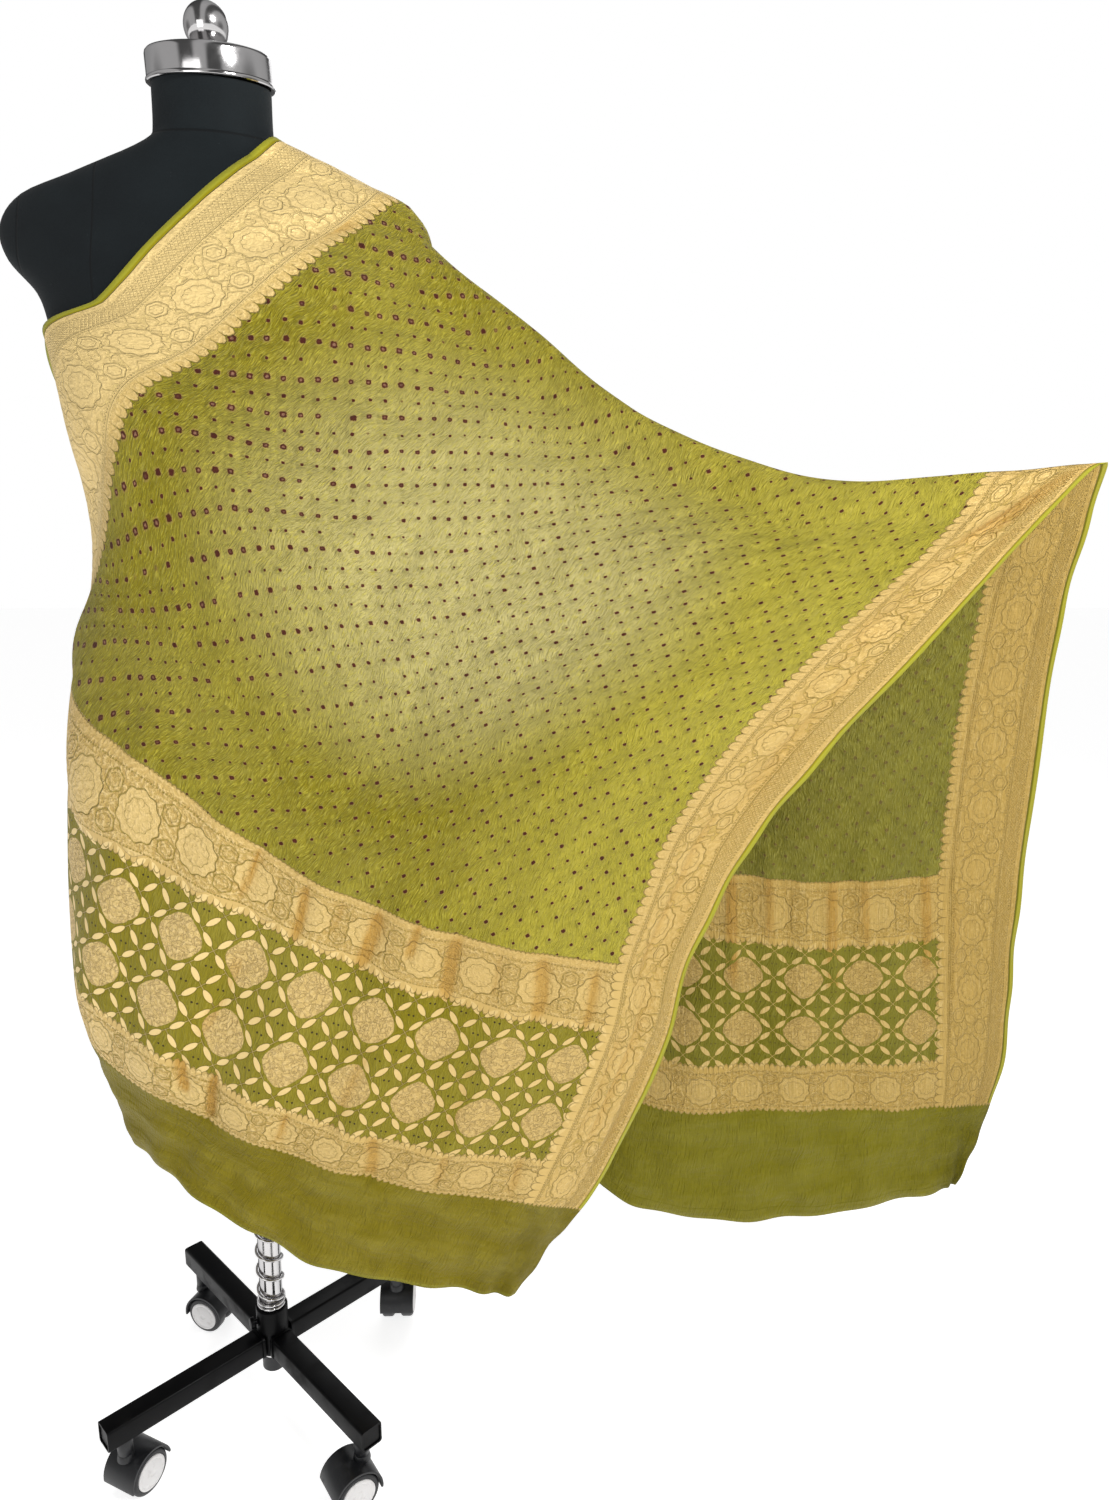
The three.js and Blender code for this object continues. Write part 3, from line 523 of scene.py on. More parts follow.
def winding_tree():
    """Two spirals of wire end to end, from the winding's sizes in metres."""
    tree = bpy.data.node_groups.new("wire_winding", "GeometryNodeTree")
    sizes = {}
    tree.interface.new_socket("Geometry", in_out="OUTPUT", socket_type="NodeSocketGeometry")
    for label, value in WINDING.items():
        socket = tree.interface.new_socket(label, in_out="INPUT", socket_type="NodeSocketFloat")
        socket.default_value = value
        sizes[label] = socket.identifier
    nodes, links = tree.nodes, tree.links
    entry, leave = nodes.new("NodeGroupInput"), nodes.new("NodeGroupOutput")
    spirals = []
    for turns, rise in (("Close Turns", "Close Rise"), ("Open Turns", "Open Rise")):
        spiral = nodes.new("GeometryNodeCurveSpiral")
        spiral.inputs["Resolution"].default_value = 40
        spiral.inputs["Reverse"].default_value = False
        for target, source in (("Rotations", turns), ("Start Radius", "Reach"), ("End Radius", "Reach"),
                               ("Height", rise)):
            links.new(entry.outputs[source], spiral.inputs[target])
        spirals.append(spiral)
    lift = nodes.new("GeometryNodeTransform")
    rise_vector = nodes.new("ShaderNodeCombineXYZ")
    links.new(entry.outputs["Close Rise"], rise_vector.inputs["Z"])
    links.new(rise_vector.outputs[0], lift.inputs["Translation"])
    links.new(spirals[1].outputs[0], lift.inputs["Geometry"])
    both = nodes.new("GeometryNodeJoinGeometry")
    links.new(lift.outputs[0], both.inputs[0])
    links.new(spirals[0].outputs[0], both.inputs[0])
    section = nodes.new("GeometryNodeCurvePrimitiveCircle")
    section.inputs["Resolution"].default_value = 12
    links.new(entry.outputs["Wire Radius"], section.inputs["Radius"])
    sweep = nodes.new("GeometryNodeCurveToMesh")
    sweep.inputs["Fill Caps"].default_value = True
    links.new(both.outputs[0], sweep.inputs["Curve"])
    links.new(section.outputs[0], sweep.inputs["Profile Curve"])
    smooth = nodes.new("GeometryNodeSetShadeSmooth")
    links.new(sweep.outputs[0], smooth.inputs[0])
    real = nodes.new("GeometryNodeRealizeInstances")
    links.new(smooth.outputs[0], real.inputs[0])
    coated = nodes.new("GeometryNodeSetMaterial")
    coated.inputs["Material"].default_value = chrome
    links.new(real.outputs[0], coated.inputs[0])
    links.new(coated.outputs[0], leave.inputs[0])
    return tree, sizes


def grown(name, tree, values, material, matrix):
    """The plain mesh that a Geometry Nodes tree makes."""
    seed_mesh = bpy.data.meshes.new(name + "_seed")
    grower = placed(name + "_seed", seed_mesh)
    modifier = grower.modifiers.new("nodes", "NODES")
    modifier.node_group = tree
    for identifier, value in values.items():
        modifier[identifier] = value
    evaluated = grower.evaluated_get(bpy.context.evaluated_depsgraph_get())
    mesh = bpy.data.meshes.new_from_object(evaluated)
    grower.modifiers.clear()
    bpy.data.objects.remove(grower)
    mesh.name = name
    mesh.transform(matrix)
    mesh.materials.clear()
    mesh.materials.append(material)
    return placed(name, mesh)


winding, winding_sizes = winding_tree()
wire_foot = Matrix.Translation(post_foot) @ Matrix.Translation((-LEAN * HUB_PIVOT / 1000, 0, 0)) \
    @ Matrix.Rotation(LEAN, 4, "Y") @ Matrix.Translation((0, 0, (HUB_HIGH + WIRE_RADIUS + 1) / 1000))
wire_values = {winding_sizes[label]: value for label, value in WINDING.items()}
wire = grown("post_winding", winding, wire_values, chrome, wire_foot)
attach(wire, "root")
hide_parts("post_wire")

# ---- Dress form ----
# A half form of moulded foam under black stretched jersey, with short rounded arm stumps, flat underneath.
# The jersey is cut in panels: seams run down the front and back, beside each arm stump and round the neck.
FORM_TURN = math.radians(8)
NECK_TOP, FORM_BASE = 1489, 745
FORM_SIDES, FORM_ROWS = 120, 150
ARMHOLE_SEAM, NECK_SEAM, SEAM_TILT = 176, 1437, 0.1

# Above NECK_FOOT the neck leans forward. The top sinks by NECK_SINK, and by NECK_DIP for each mm forward.
NECK_FOOT, NECK_DIP, NECK_SINK = 1434, 0.15, 4

# Height, half width, half depth, the middle's offset front to back, and how square the oval is.
FORM = [
    (745, 152, 93, 2, 2.3), (762, 164, 100, 2, 2.3), (800, 173, 106, 3, 2.3), (860, 172, 107, 4, 2.2),
    (940, 158, 99, 3, 2.1), (1000, 139, 87, 0, 2.1), (1060, 131, 82, -3, 2.1), (1110, 133, 90, -7, 2.1),
    (1165, 142, 105, -10, 2.2), (1220, 150, 104, -10, 2.3), (1255, 157, 98, -8, 2.4),
    (1290, 168, 87, -4, 2.5), (1322, 195, 74, 0, 2.5), (1352, 201, 62, 2, 2.4), (1380, 181, 54, 2, 2.3),
    (1400, 137, 51, 2, 2.2), (1412, 109, 50, 2, 2.2), (1424, 80, 52, 2, 2.1), (1434, 60, 54, 0, 2.0),
    (1442, 56, 55, 0, 2.0), (1489, 55, 55, 0, 2.0),
]


def smooth_weights(knots, at):
    """How much each knot's value counts at each place on a smooth curve through unevenly spaced knots."""
    knots, at = np.asarray(knots, float), np.asarray(at, float)
    last = len(knots) - 1
    i = np.clip(np.searchsorted(knots, at, side="right") - 1, 0, last - 1)
    span = knots[i + 1] - knots[i]
    t = (at - knots[i]) / span
    weights = np.zeros((len(at), len(knots)))
    rows = np.arange(len(at))
    np.add.at(weights, (rows, i), (1 + 2 * t) * (1 - t) ** 2)
    np.add.at(weights, (rows, i + 1), t * t * (3 - 2 * t))
    for end, share in ((i, t * (1 - t) ** 2 * span), (i + 1, t * t * (t - 1) * span)):
        low, high = np.maximum(end - 1, 0), np.minimum(end + 1, last)
        slope = share / (knots[high] - knots[low])
        np.add.at(weights, (rows, high), slope)
        np.add.at(weights, (rows, low), -slope)
    return weights


form_heights = [row[0] for row in FORM]
form_sizes = np.array([row[1:] for row in FORM], float)


def form_ring(height, sides):
    wide, deep, middle, square = (smooth_weights(form_heights, [height]) @ form_sizes)[0]
    ring = []
    for i in range(sides):
        turn = 2 * math.pi * i / sides
        c, s = math.cos(turn), math.sin(turn)
        ring.append((math.copysign(abs(c) ** (2 / square), c) * wide,
                     middle + math.copysign(abs(s) ** (2 / square), s) * deep, height))
    return ring


def nod(points):
    """The neck leans forward towards its top, so its front is lower than its back."""
    out = []
    for x, y, z in points:
        part = min(max((z - NECK_FOOT) / (NECK_TOP - NECK_FOOT), 0), 1)
        out.append((x, y, z + (y * NECK_DIP - NECK_SINK) * part))
    return out


def jersey_cover():
    jersey = Finish("black_jersey", Sheen_Weight=0.03, Sheen_Roughness=0.5, Specular_IOR_Level=0.25)
    across, height, _ = jersey.parts(jersey.flat("form"))
    across, height = abs(across * 1000), height * 1000
    panel = 60 + 44 * height.over(1080, 1330) + 26 * (1 - height.over(860, 1080))
    seam = across.near(panel, 0.9, 0.6)
    armhole = across.near(ARMHOLE_SEAM, 1.0, 0.6) * height.over(1285, 1290)
    neck = height.near(NECK_SEAM, 1.0, 0.6)
    seams = seam.most(armhole).most(neck)
    beside = across.near(panel, 5, 3).most(across.near(ARMHOLE_SEAM, 5, 3)).most(height.near(NECK_SEAM, 5, 3))
    place = jersey.place()
    knit = jersey.cloudy(place, 1400, 2)
    worn = jersey.cloudy(place, 9, 4, 0.6)
    fluff = jersey.cloudy(place, 420, 2).over(0.72, 0.8)
    colour = jersey.mix(worn.over(0.3, 0.75), dye(13, 19, 22), dye(22, 29, 32))
    colour = jersey.mix(fluff * 0.25, colour, dye(80, 88, 90))
    colour = jersey.mix(seams * 0.8, colour, dye(8, 11, 13))
    height_map = knit * 0.25 + (1 - seams) * 0.5 + beside * 0.25 * jersey.cloudy(place, 160, 2)
    return jersey.finish(bump=height_map, depth=0.0012, strength=0.7, Base_Color=colour,
                         Roughness=0.78 + worn * 0.12)


form_matrix = lean_turn @ Matrix.Rotation(FORM_TURN, 4, "Z")
heights = [FORM_BASE, FORM_BASE + 0.4]
heights += [FORM_BASE + (NECK_TOP - FORM_BASE) * k / FORM_ROWS for k in range(1, FORM_ROWS + 1)]
rings = [form_ring(height, FORM_SIDES) for height in heights]
rings[0] = [(x * 0.985, y * 0.985, z) for x, y, z in rings[0]]
form_points = [p for ring in rings for p in ring] + [(0, 0, FORM_BASE), (0, 0, NECK_TOP)]
form_faces = []
for row in range(len(rings) - 1):
    low, high = row * FORM_SIDES, (row + 1) * FORM_SIDES
    for i in range(FORM_SIDES):
        j = (i + 1) % FORM_SIDES
        form_faces.append((low + i, low + j, high + j, high + i))
top_ring = (len(rings) - 1) * FORM_SIDES
base_middle, top_middle = len(form_points) - 2, len(form_points) - 1
form_faces += [(base_middle, (i + 1) % FORM_SIDES, i) for i in range(FORM_SIDES)]
form_faces += [(top_middle, top_ring + i, top_ring + (i + 1) % FORM_SIDES) for i in range(FORM_SIDES)]
form = add_piece("form_cover", (nod(form_points), form_faces), form_matrix, jersey_cover(),
                 ["torso"], 50)
form_layer = form.data.uv_layers.new(name="form")
for loop in form.data.loops:
    x, y, z = form_points[loop.vertex_index]
    form_layer.data[loop.index].uv = (x / 1000, (z - y * SEAM_TILT) / 1000)

# ---- Neck cap and knob ----
# A spun and chromed steel cap that closes the form's neck, with a rolled lower rim.
# A chromed ball knob is screwed into it. Both lean forward with the neck.
CAP_RADIUS, CAP_LOW, CAP_BAND = 58.5, 1489.3, 27
KNOB_RADIUS, KNOB_MIDDLE, KNOB_FOOT = 21, 1539, 13
BALL_START, BALL_STEPS = -52, 24
cap_high = CAP_LOW + CAP_BAND
cap_profile = [(0, CAP_LOW), (CAP_RADIUS, CAP_LOW), (CAP_RADIUS + 1, CAP_LOW + 0.8),
               (CAP_RADIUS + 1.2, CAP_LOW + 2), (CAP_RADIUS + 0.8, CAP_LOW + 3.4),
               (CAP_RADIUS, CAP_LOW + 4.2), (CAP_RADIUS, cap_high - 4), (CAP_RADIUS - 0.5, cap_high - 2),
               (CAP_RADIUS - 2, cap_high - 0.4), (CAP_RADIUS - 4, cap_high + 0.2),
               (CAP_RADIUS * 0.75, cap_high + 2.2),
               (CAP_RADIUS * 0.5, cap_high + 3.8), (CAP_RADIUS * 0.25, cap_high + 4.7), (0, cap_high + 5)]
nod_turn = lean_turn @ Matrix.Translation((0, 0, NECK_TOP - NECK_SINK)) \
    @ Matrix.Rotation(math.atan(NECK_DIP), 4, "X") @ Matrix.Translation((0, 0, -NECK_TOP))
add_piece("cap_shell", lathe(cap_profile, 96), nod_turn, chrome, ["neck_cap"])
knob_low = cap_high + 5.3
ball = [(KNOB_RADIUS * math.cos(t), KNOB_MIDDLE + KNOB_RADIUS * math.sin(t))
        for t in (math.radians(BALL_START + (90 - BALL_START) * k / BALL_STEPS) for k in range(BALL_STEPS))]
knob_foot = [(0, knob_low), (KNOB_FOOT, knob_low), (KNOB_FOOT + 0.4, knob_low + 0.6),
             (KNOB_FOOT - 0.4, knob_low + 1.4)]
ball = [p for p in ball if p[1] > knob_low + 1.5] + [(0, KNOB_MIDDLE + KNOB_RADIUS)]
add_piece("knob_ball", lathe(knob_foot + ball, 64), nod_turn, chrome, ["knob"])

# ---- Dupatta ----
# One loom-width of silk crepe, dyed green, then tied and dyed in rows of maroon dots. Gold zari is woven in
# along both sides and across both ends. It lies over the form's shoulder, and one corner is held out.
CLOTH_WIDE, CLOTH_LONG, CLOTH_CLEAR = 940, 1970, 6.5
GRID_ROWS, GRID_COLUMNS, HALF_THICK = 304, 146, 0.3
LIFT_ROUNDS, LIFT_REACH, LIFT_STEP = 6, 320, 12
FOLD_FADE, CREASE_FADE, CREASE_GAIN, PRESSED_DEEP = 0.22, 0.3, 1.4, 7
COLUMNS = [0, 117, 200, 300, 470, 650, 823, 940]

# Where the cloth hangs: place along it, then where each of the lines across it lies there.
SECTIONS = [
    (0, (18, 110, 575), (-72, 126, 490), (-135, 98, 438), (-162, 20, 383), (-72, -78, 364), (80, -95, 272),
     (250, -90, 232), (305, -80, 220)),
    (115, (-28, 114, 685), (-122, 108, 615), (-176, 60, 548), (-172, -30, 500), (-20, -88, 436),
     (139, -90, 372), (312, -90, 338), (375, -68, 315)),
    (185, (-46, 116, 755), (-140, 92, 690), (-198, 24, 624), (-156, -60, 580), (0, -92, 492),
     (170, -92, 426), (340, -92, 400), (415, -64, 376)),
    (340, (-74, 110, 905), (-160, 58, 838), (-178, -15, 786), (-88, -92, 748), (68, -102, 668),
     (232, -100, 592), (399, -95, 551), (476, -58, 527)),
    (425, (-96, 94, 998), (-160, 4, 952), (-124, -68, 898), (-52, -106, 850), (92, -106, 738),
     (250, -102, 667), (416, -92, 630), (498, -53, 615)),
    (495, (-118, 68, 1075), (-114, -58, 1010), (-74, -95, 962), (-4, -116, 898), (134, -109, 790),
     (285, -100, 734), (441, -84, 698), (530, -48, 684)),
    (570, (-140, 32, 1150), (-78, -98, 1058), (-34, -112, 1010), (38, -122, 946), (178, -110, 845),
     (322, -98, 803), (468, -75, 766), (566, -43, 750)),
    (700, (-136, -52, 1250), (-34, -122, 1180), (24, -124, 1126), (98, -126, 1055), (237, -104, 945),
     (387, -85, 903), (541, -58, 870), (650, -32, 855)),
    (800, (-62, -108, 1276), (40, -120, 1228), (98, -122, 1174), (166, -118, 1112), (288, -88, 1015),
     (447, -70, 968), (611, -43, 943), (722, -23, 935)),
    (910, (10, -104, 1344), (117, -103, 1296), (174, -100, 1240), (242, -88, 1178), (352, -62, 1085),
     (518, -48, 1037), (690, -27, 1015), (800, -12, 1020)),
    (1010, (64, -50, 1410), (170, -48, 1352), (226, -42, 1296), (296, -36, 1232), (410, -28, 1140),
     (588, -22, 1087), (762, -12, 1084), (869, -5, 1100)),
    (1070, (84, 4, 1434), (189, 4, 1378), (247, 2, 1330), (324, 0, 1273), (440, 0, 1187), (620, 0, 1125),
     (798, 0, 1131), (917, 0, 1141)),
    (1120, (80, 48, 1416), (186, 46, 1360), (244, 38, 1300), (322, 28, 1232), (440, 22, 1140),
     (620, 20, 1078), (822, 18, 1086), (915, 13, 1092)),
    (1220, (76, 100, 1332), (182, 92, 1276), (243, 76, 1208), (322, 62, 1134), (441, 50, 1040),
     (625, 45, 983), (815, 36, 995), (905, 30, 993)),
    (1370, (72, 118, 1185), (180, 115, 1128), (243, 100, 1060), (324, 86, 982), (445, 72, 884),
     (630, 65, 836), (806, 53, 848), (905, 50, 850)),
    (1545, (70, 116, 1010), (180, 120, 954), (246, 110, 884), (328, 95, 800), (454, 75, 702),
     (638, 62, 668), (804, 60, 675), (904, 60, 675)),
    (1630, (70, 122, 925), (182, 124, 870), (249, 112, 799), (330, 96, 708), (458, 74, 614), (640, 62, 582),
     (809, 60, 592), (902, 60, 590)),
    (1785, (72, 130, 771), (186, 124, 716), (253, 110, 645), (336, 92, 545), (462, 70, 440), (645, 64, 430),
     (820, 60, 435), (903, 60, 435)),
    (1855, (72, 128, 702), (188, 120, 646), (256, 106, 575), (338, 88, 468), (462, 68, 362), (650, 62, 360),
     (823, 60, 364), (890, 60, 368)),
    (1970, (72, 118, 589), (192, 110, 532), (263, 96, 458), (342, 78, 343), (452, 62, 230), (652, 60, 213),
     (828, 60, 250), (857, 60, 262)),
]

# Soft folds, troughs below zero: start and end as (along, across), half width, depth, sideways bend.
FOLDS = [
    ((1040, 900), (800, 858), 24, -9, 0), ((760, 900), (330, 884), 24, -9, 0),
    ((520, 285), (120, 300), 30, 8, 0), ((500, 385), (90, 400), 30, 9, 0),
    ((500, 492), (60, 505), 30, 10, 0), ((500, 605), (60, 610), 30, 9, 0),
    ((480, 715), (60, 715), 28, 8, 0), ((1420, 545), (1900, 540), 32, -9, 0),
    ((1420, 650), (1930, 655), 32, -9, 0), ((1440, 760), (1930, 765), 30, -8, 0),
]

# Narrow creases pressed into the cloth, laid out in the same way.
CREASES = [
    ((432, 483), (322, 484), 7, -5, 3), ((436, 566), (320, 553), 8, -6, 3),
    ((436, 608), (366, 603), 6, -5, 2), ((438, 654), (320, 654), 8, -6, -3),
    ((434, 740), (326, 748), 8, -6, 3), ((430, 801), (322, 803), 7, -5, 2),
    ((440, 430), (340, 418), 6, -4, 3), ((428, 524), (350, 518), 6, -3, 2),
    ((430, 700), (345, 702), 6, -3, -2), ((200, 410), (134, 430), 7, -5, 2),
    ((204, 453), (108, 462), 7, -5, -2), ((196, 625), (106, 658), 8, -5, 3),
    ((194, 790), (118, 804), 7, -4, 2), ((190, 535), (120, 540), 6, -4, 2),
    ((190, 715), (124, 722), 6, -4, -2), ((170, 74), (126, 104), 7, -5, 2), ((98, 14), (48, 64), 8, -5, 3),
    ((60, 90), (20, 130), 8, -4, 3), ((330, 440), (190, 420), 10, -3, 5),
    ((300, 600), (150, 590), 10, -3, -5), ((320, 700), (170, 700), 10, -3, 4),
    ((1066, 936), (955, 842), 9, -7, 3), ((1040, 926), (900, 868), 8, 4, 2),
    ((1000, 915), (860, 905), 7, -4, 3), ((900, 860), (640, 850), 8, -3, 6),
    ((860, 895), (560, 905), 8, -4, -6), ((640, 870), (360, 862), 8, -5, 5),
    ((560, 905), (300, 900), 7, 4, 4), ((420, 885), (170, 880), 8, -5, -4),
    ((380, 850), (180, 856), 7, -4, 3), ((360, 915), (140, 912), 7, -4, 3),
    ((1040, 120), (900, 60), 14, -3, 4), ((1000, 300), (800, 200), 20, -3, 8),
    ((960, 500), (700, 330), 22, -3, 10), ((1020, 640), (780, 480), 22, 4, 12),
    ((1030, 760), (800, 640), 20, -4, 8), ((1040, 860), (860, 780), 18, 4, 8),
    ((1500, 575), (1720, 580), 8, -5, 3), ((1490, 610), (1650, 618), 7, -4, -3),
    ((1500, 690), (1740, 700), 8, -5, 4), ((1490, 730), (1660, 735), 7, -4, 3),
    ((1500, 800), (1700, 806), 8, -5, -3), ((1510, 850), (1760, 846), 8, -4, 3),
    ((1480, 640), (1800, 648), 7, 3, 4),
]


def fold_depth(folds, along, across, fade):
    """Depth of all the folds at every place, each fading towards its two ends."""
    depth = np.zeros_like(along)
    for start, end, half, deep, bend in folds:
        run = np.array(end, float) - np.array(start, float)
        length = np.hypot(*run)
        part = ((along - start[0]) * run[0] + (across - start[1]) * run[1]) / length ** 2
        side = ((along - start[0]) * run[1] - (across - start[1]) * run[0]) / length
        side = side - bend * np.sin(np.clip(part, 0, 1) * math.pi)
        rise = np.clip(part / fade, 0, 1)
        fall = np.clip((part - 1 + fade) / fade, 0, 1)
        ends = rise * rise * (3 - 2 * rise) * (1 - fall * fall * (3 - 2 * fall))
        depth += deep * ends * np.exp(-(side / half) ** 2)
    return depth


def outward(places, along, across):
    """The right side's direction over a grid of places."""
    up = np.gradient(places, along, axis=0)
    right = np.gradient(places, across, axis=1)
    normal = np.cross(right, up)
    return normal / np.linalg.norm(normal, axis=2, keepdims=True)


def form_ratio(p):
    """Below 1 inside the form and above 1 outside it."""
    flat = np.clip(p[:, 2], FORM_BASE, NECK_TOP)
    sizes = smooth_weights(form_heights, flat) @ form_sizes
    x = p[:, 0] - LEAN * (p[:, 2] - HUB_PIVOT)
    across = np.abs(x * math.cos(FORM_TURN) + p[:, 1] * math.sin(FORM_TURN)) / sizes[:, 0]
    through = np.abs(p[:, 1] * math.cos(FORM_TURN) - x * math.sin(FORM_TURN) - sizes[:, 2]) / sizes[:, 1]
    return (across ** sizes[:, 3] + through ** sizes[:, 3]) ** (1 / sizes[:, 3])


def lift_off_form(places, clear):
    """Moves the places that come too near the form out until they clear it."""
    points = places.reshape(-1, 3)
    for _ in range(LIFT_ROUNDS):
        near = np.flatnonzero((points[:, 2] > FORM_BASE - 2 * clear) & (np.abs(points[:, 0]) < LIFT_REACH))
        p = points[near]
        slope = np.stack([(form_ratio(p + e) - form_ratio(p - e)) for e in np.eye(3) * 0.5], axis=1)
        steep = np.linalg.norm(slope, axis=1)
        short = clear - (form_ratio(p) - 1) / steep
        move = np.clip(short, 0, LIFT_STEP)
        points[near] = p + slope * (move / steep)[:, None]
    return points.reshape(places.shape)


def ripple(along, across):
    """The small unevenness of limp silk: shallow waves of a few sizes that run mostly along it."""
    return (0.5 * np.sin(across / 23 + 1.7 * np.sin(along / 140)) * np.sin(along / 95 + across / 160)
            + 0.35 * np.sin(across / 13 + 2.1 * np.sin(along / 90 + 1)) * np.sin(along / 61 + 2)
            + 0.25 * np.sin((along + across) / 17 + 2 * np.sin(across / 70)) * np.sin((along - across) / 83))


def edge_waves(along, across):
    """Ripples along the sides and the hems, ruffled corners at the front hem, and crumpled plain ends."""
    far_side, from_hem = CLOTH_WIDE - across, np.minimum(along, CLOTH_LONG - along)
    sides = np.exp(-far_side / 16) * 2.2 * np.sin(along / 21 + 2 * np.sin(along / 90))
    sides += np.exp(-across / 16) * 0.8 * np.sin(along / 26 + 1.5 * np.sin(along / 70))
    hems = (np.exp(-along / 30) + np.exp(-(CLOTH_LONG - along) / 30)) * 2.0 * np.sin(
        across / 24 + 2 * np.sin(across / 110))
    corners = np.exp(-across / 70) * 4 * np.sin(across / 10 + along / 30)
    corners = corners + np.exp(-far_side / 90) * 3 * np.sin(across / 12)
    hems += np.exp(-along / 45) * corners
    crumpled = np.sin(from_hem / 8 + across / 55 + 2 * np.sin(across / 90))
    crumpled = crumpled + np.sin(across / 11 + from_hem / 40)
    hems += np.exp(-(from_hem / 110) ** 4) * 1.9 * crumpled
    return sides, hems


along_list = np.linspace(0, CLOTH_LONG, GRID_ROWS)
across_list = np.linspace(0, CLOTH_WIDE, GRID_COLUMNS)
lines = np.array([row[1:] for row in SECTIONS], float)
hang = np.einsum("ia,jc,acx->ijx", smooth_weights([row[0] for row in SECTIONS], along_list),
                 smooth_weights(COLUMNS, across_list), lines)
grid_along, grid_across = np.meshgrid(along_list, across_list, indexing="ij")
crease = fold_depth(CREASES, grid_along, grid_across, CREASE_FADE) * CREASE_GAIN
depth = fold_depth(FOLDS, grid_along, grid_across, FOLD_FADE) + crease + ripple(grid_along, grid_across)
side_wave, hem_wave = edge_waves(grid_along, grid_across)
normal = outward(hang, along_list, across_list)
middle = lift_off_form(hang + normal * (depth + side_wave + hem_wave)[:, :, None], CLOTH_CLEAR)
normal = outward(middle, along_list, across_list)

# The two sides of the cloth, joined round its edge. Each has its own finishes. Both share the flat place.
skin = np.concatenate([(middle + normal * side).reshape(-1, 3) for side in (HALF_THICK, -HALF_THICK)])
skin = skin / 1000 + np.array(post_foot)
numbers = np.arange(GRID_ROWS * GRID_COLUMNS).reshape(GRID_ROWS, GRID_COLUMNS)
back = numbers.size
corners = [numbers[:-1, :-1], numbers[:-1, 1:], numbers[1:, 1:], numbers[1:, :-1]]
right_side = np.stack([corner.ravel() for corner in corners], axis=1)
wrong_side = right_side[:, [0, 3, 2, 1]] + back
rim = []
for run in (numbers[:, 0], numbers[::-1, -1], numbers[0, ::-1], numbers[-1]):
    rim += [(a, b, b + back, a + back) for a, b in zip(run[:-1], run[1:])]
faces = np.concatenate([right_side, wrong_side, np.array(rim)])
cloth_mesh = bpy.data.meshes.new("dupatta")
cloth_mesh.from_pydata(skin.tolist(), [], faces.tolist())
cloth_mesh.shade_smooth()
flat_layer = cloth_mesh.uv_layers.new(name="flat")
flat_place = np.concatenate([np.stack([grid_across.ravel(), grid_along.ravel()], axis=1)] * 2) / 1000
corner_points = np.zeros(len(cloth_mesh.loops), int)
cloth_mesh.loops.foreach_get("vertex_index", corner_points)
flat_layer.data.foreach_set("uv", flat_place[corner_points].astype(np.float32).ravel())
pressed = cloth_mesh.attributes.new("pressed", "FLOAT", "POINT")
trough = np.clip(-crease.ravel() / PRESSED_DEEP, 0, 1)
pressed.data.foreach_set("value", np.tile(trough, 2).astype(np.float32))

# How wide a side border is, how far from a hem each part across the cloth ends, and the sizes of its motifs.
BORDER, PLAIN_END, LOWER_BAND, LATTICE, UPPER_BAND = 117, 115, 185, 340, 425
FLOWER_PITCH, LEAF_PITCH, LEAF_HALF, LEAF_THICK, STITCH = 77, 24.75, 7.8, 3.2, 3.4
DOT_PITCH, DOT_STRETCH, DOT_JITTER = 15.2, 2.6, 2.6
MEDALLION_EDGE = (20.2, 21.0)
LATTICE_X, LATTICE_Y = CLOTH_WIDE / 2 - 21, 229.5
SIDE_ZONE_EDGE, SILK_RELIEF = 104, 0.0036
# Middle and reach, across and along, of the painted sheen highlight: a paler patch in the middle of the
# field.
SHEEN_PATCH_ACROSS, SHEEN_PATCH_ALONG = (440, 270), (800, 250)


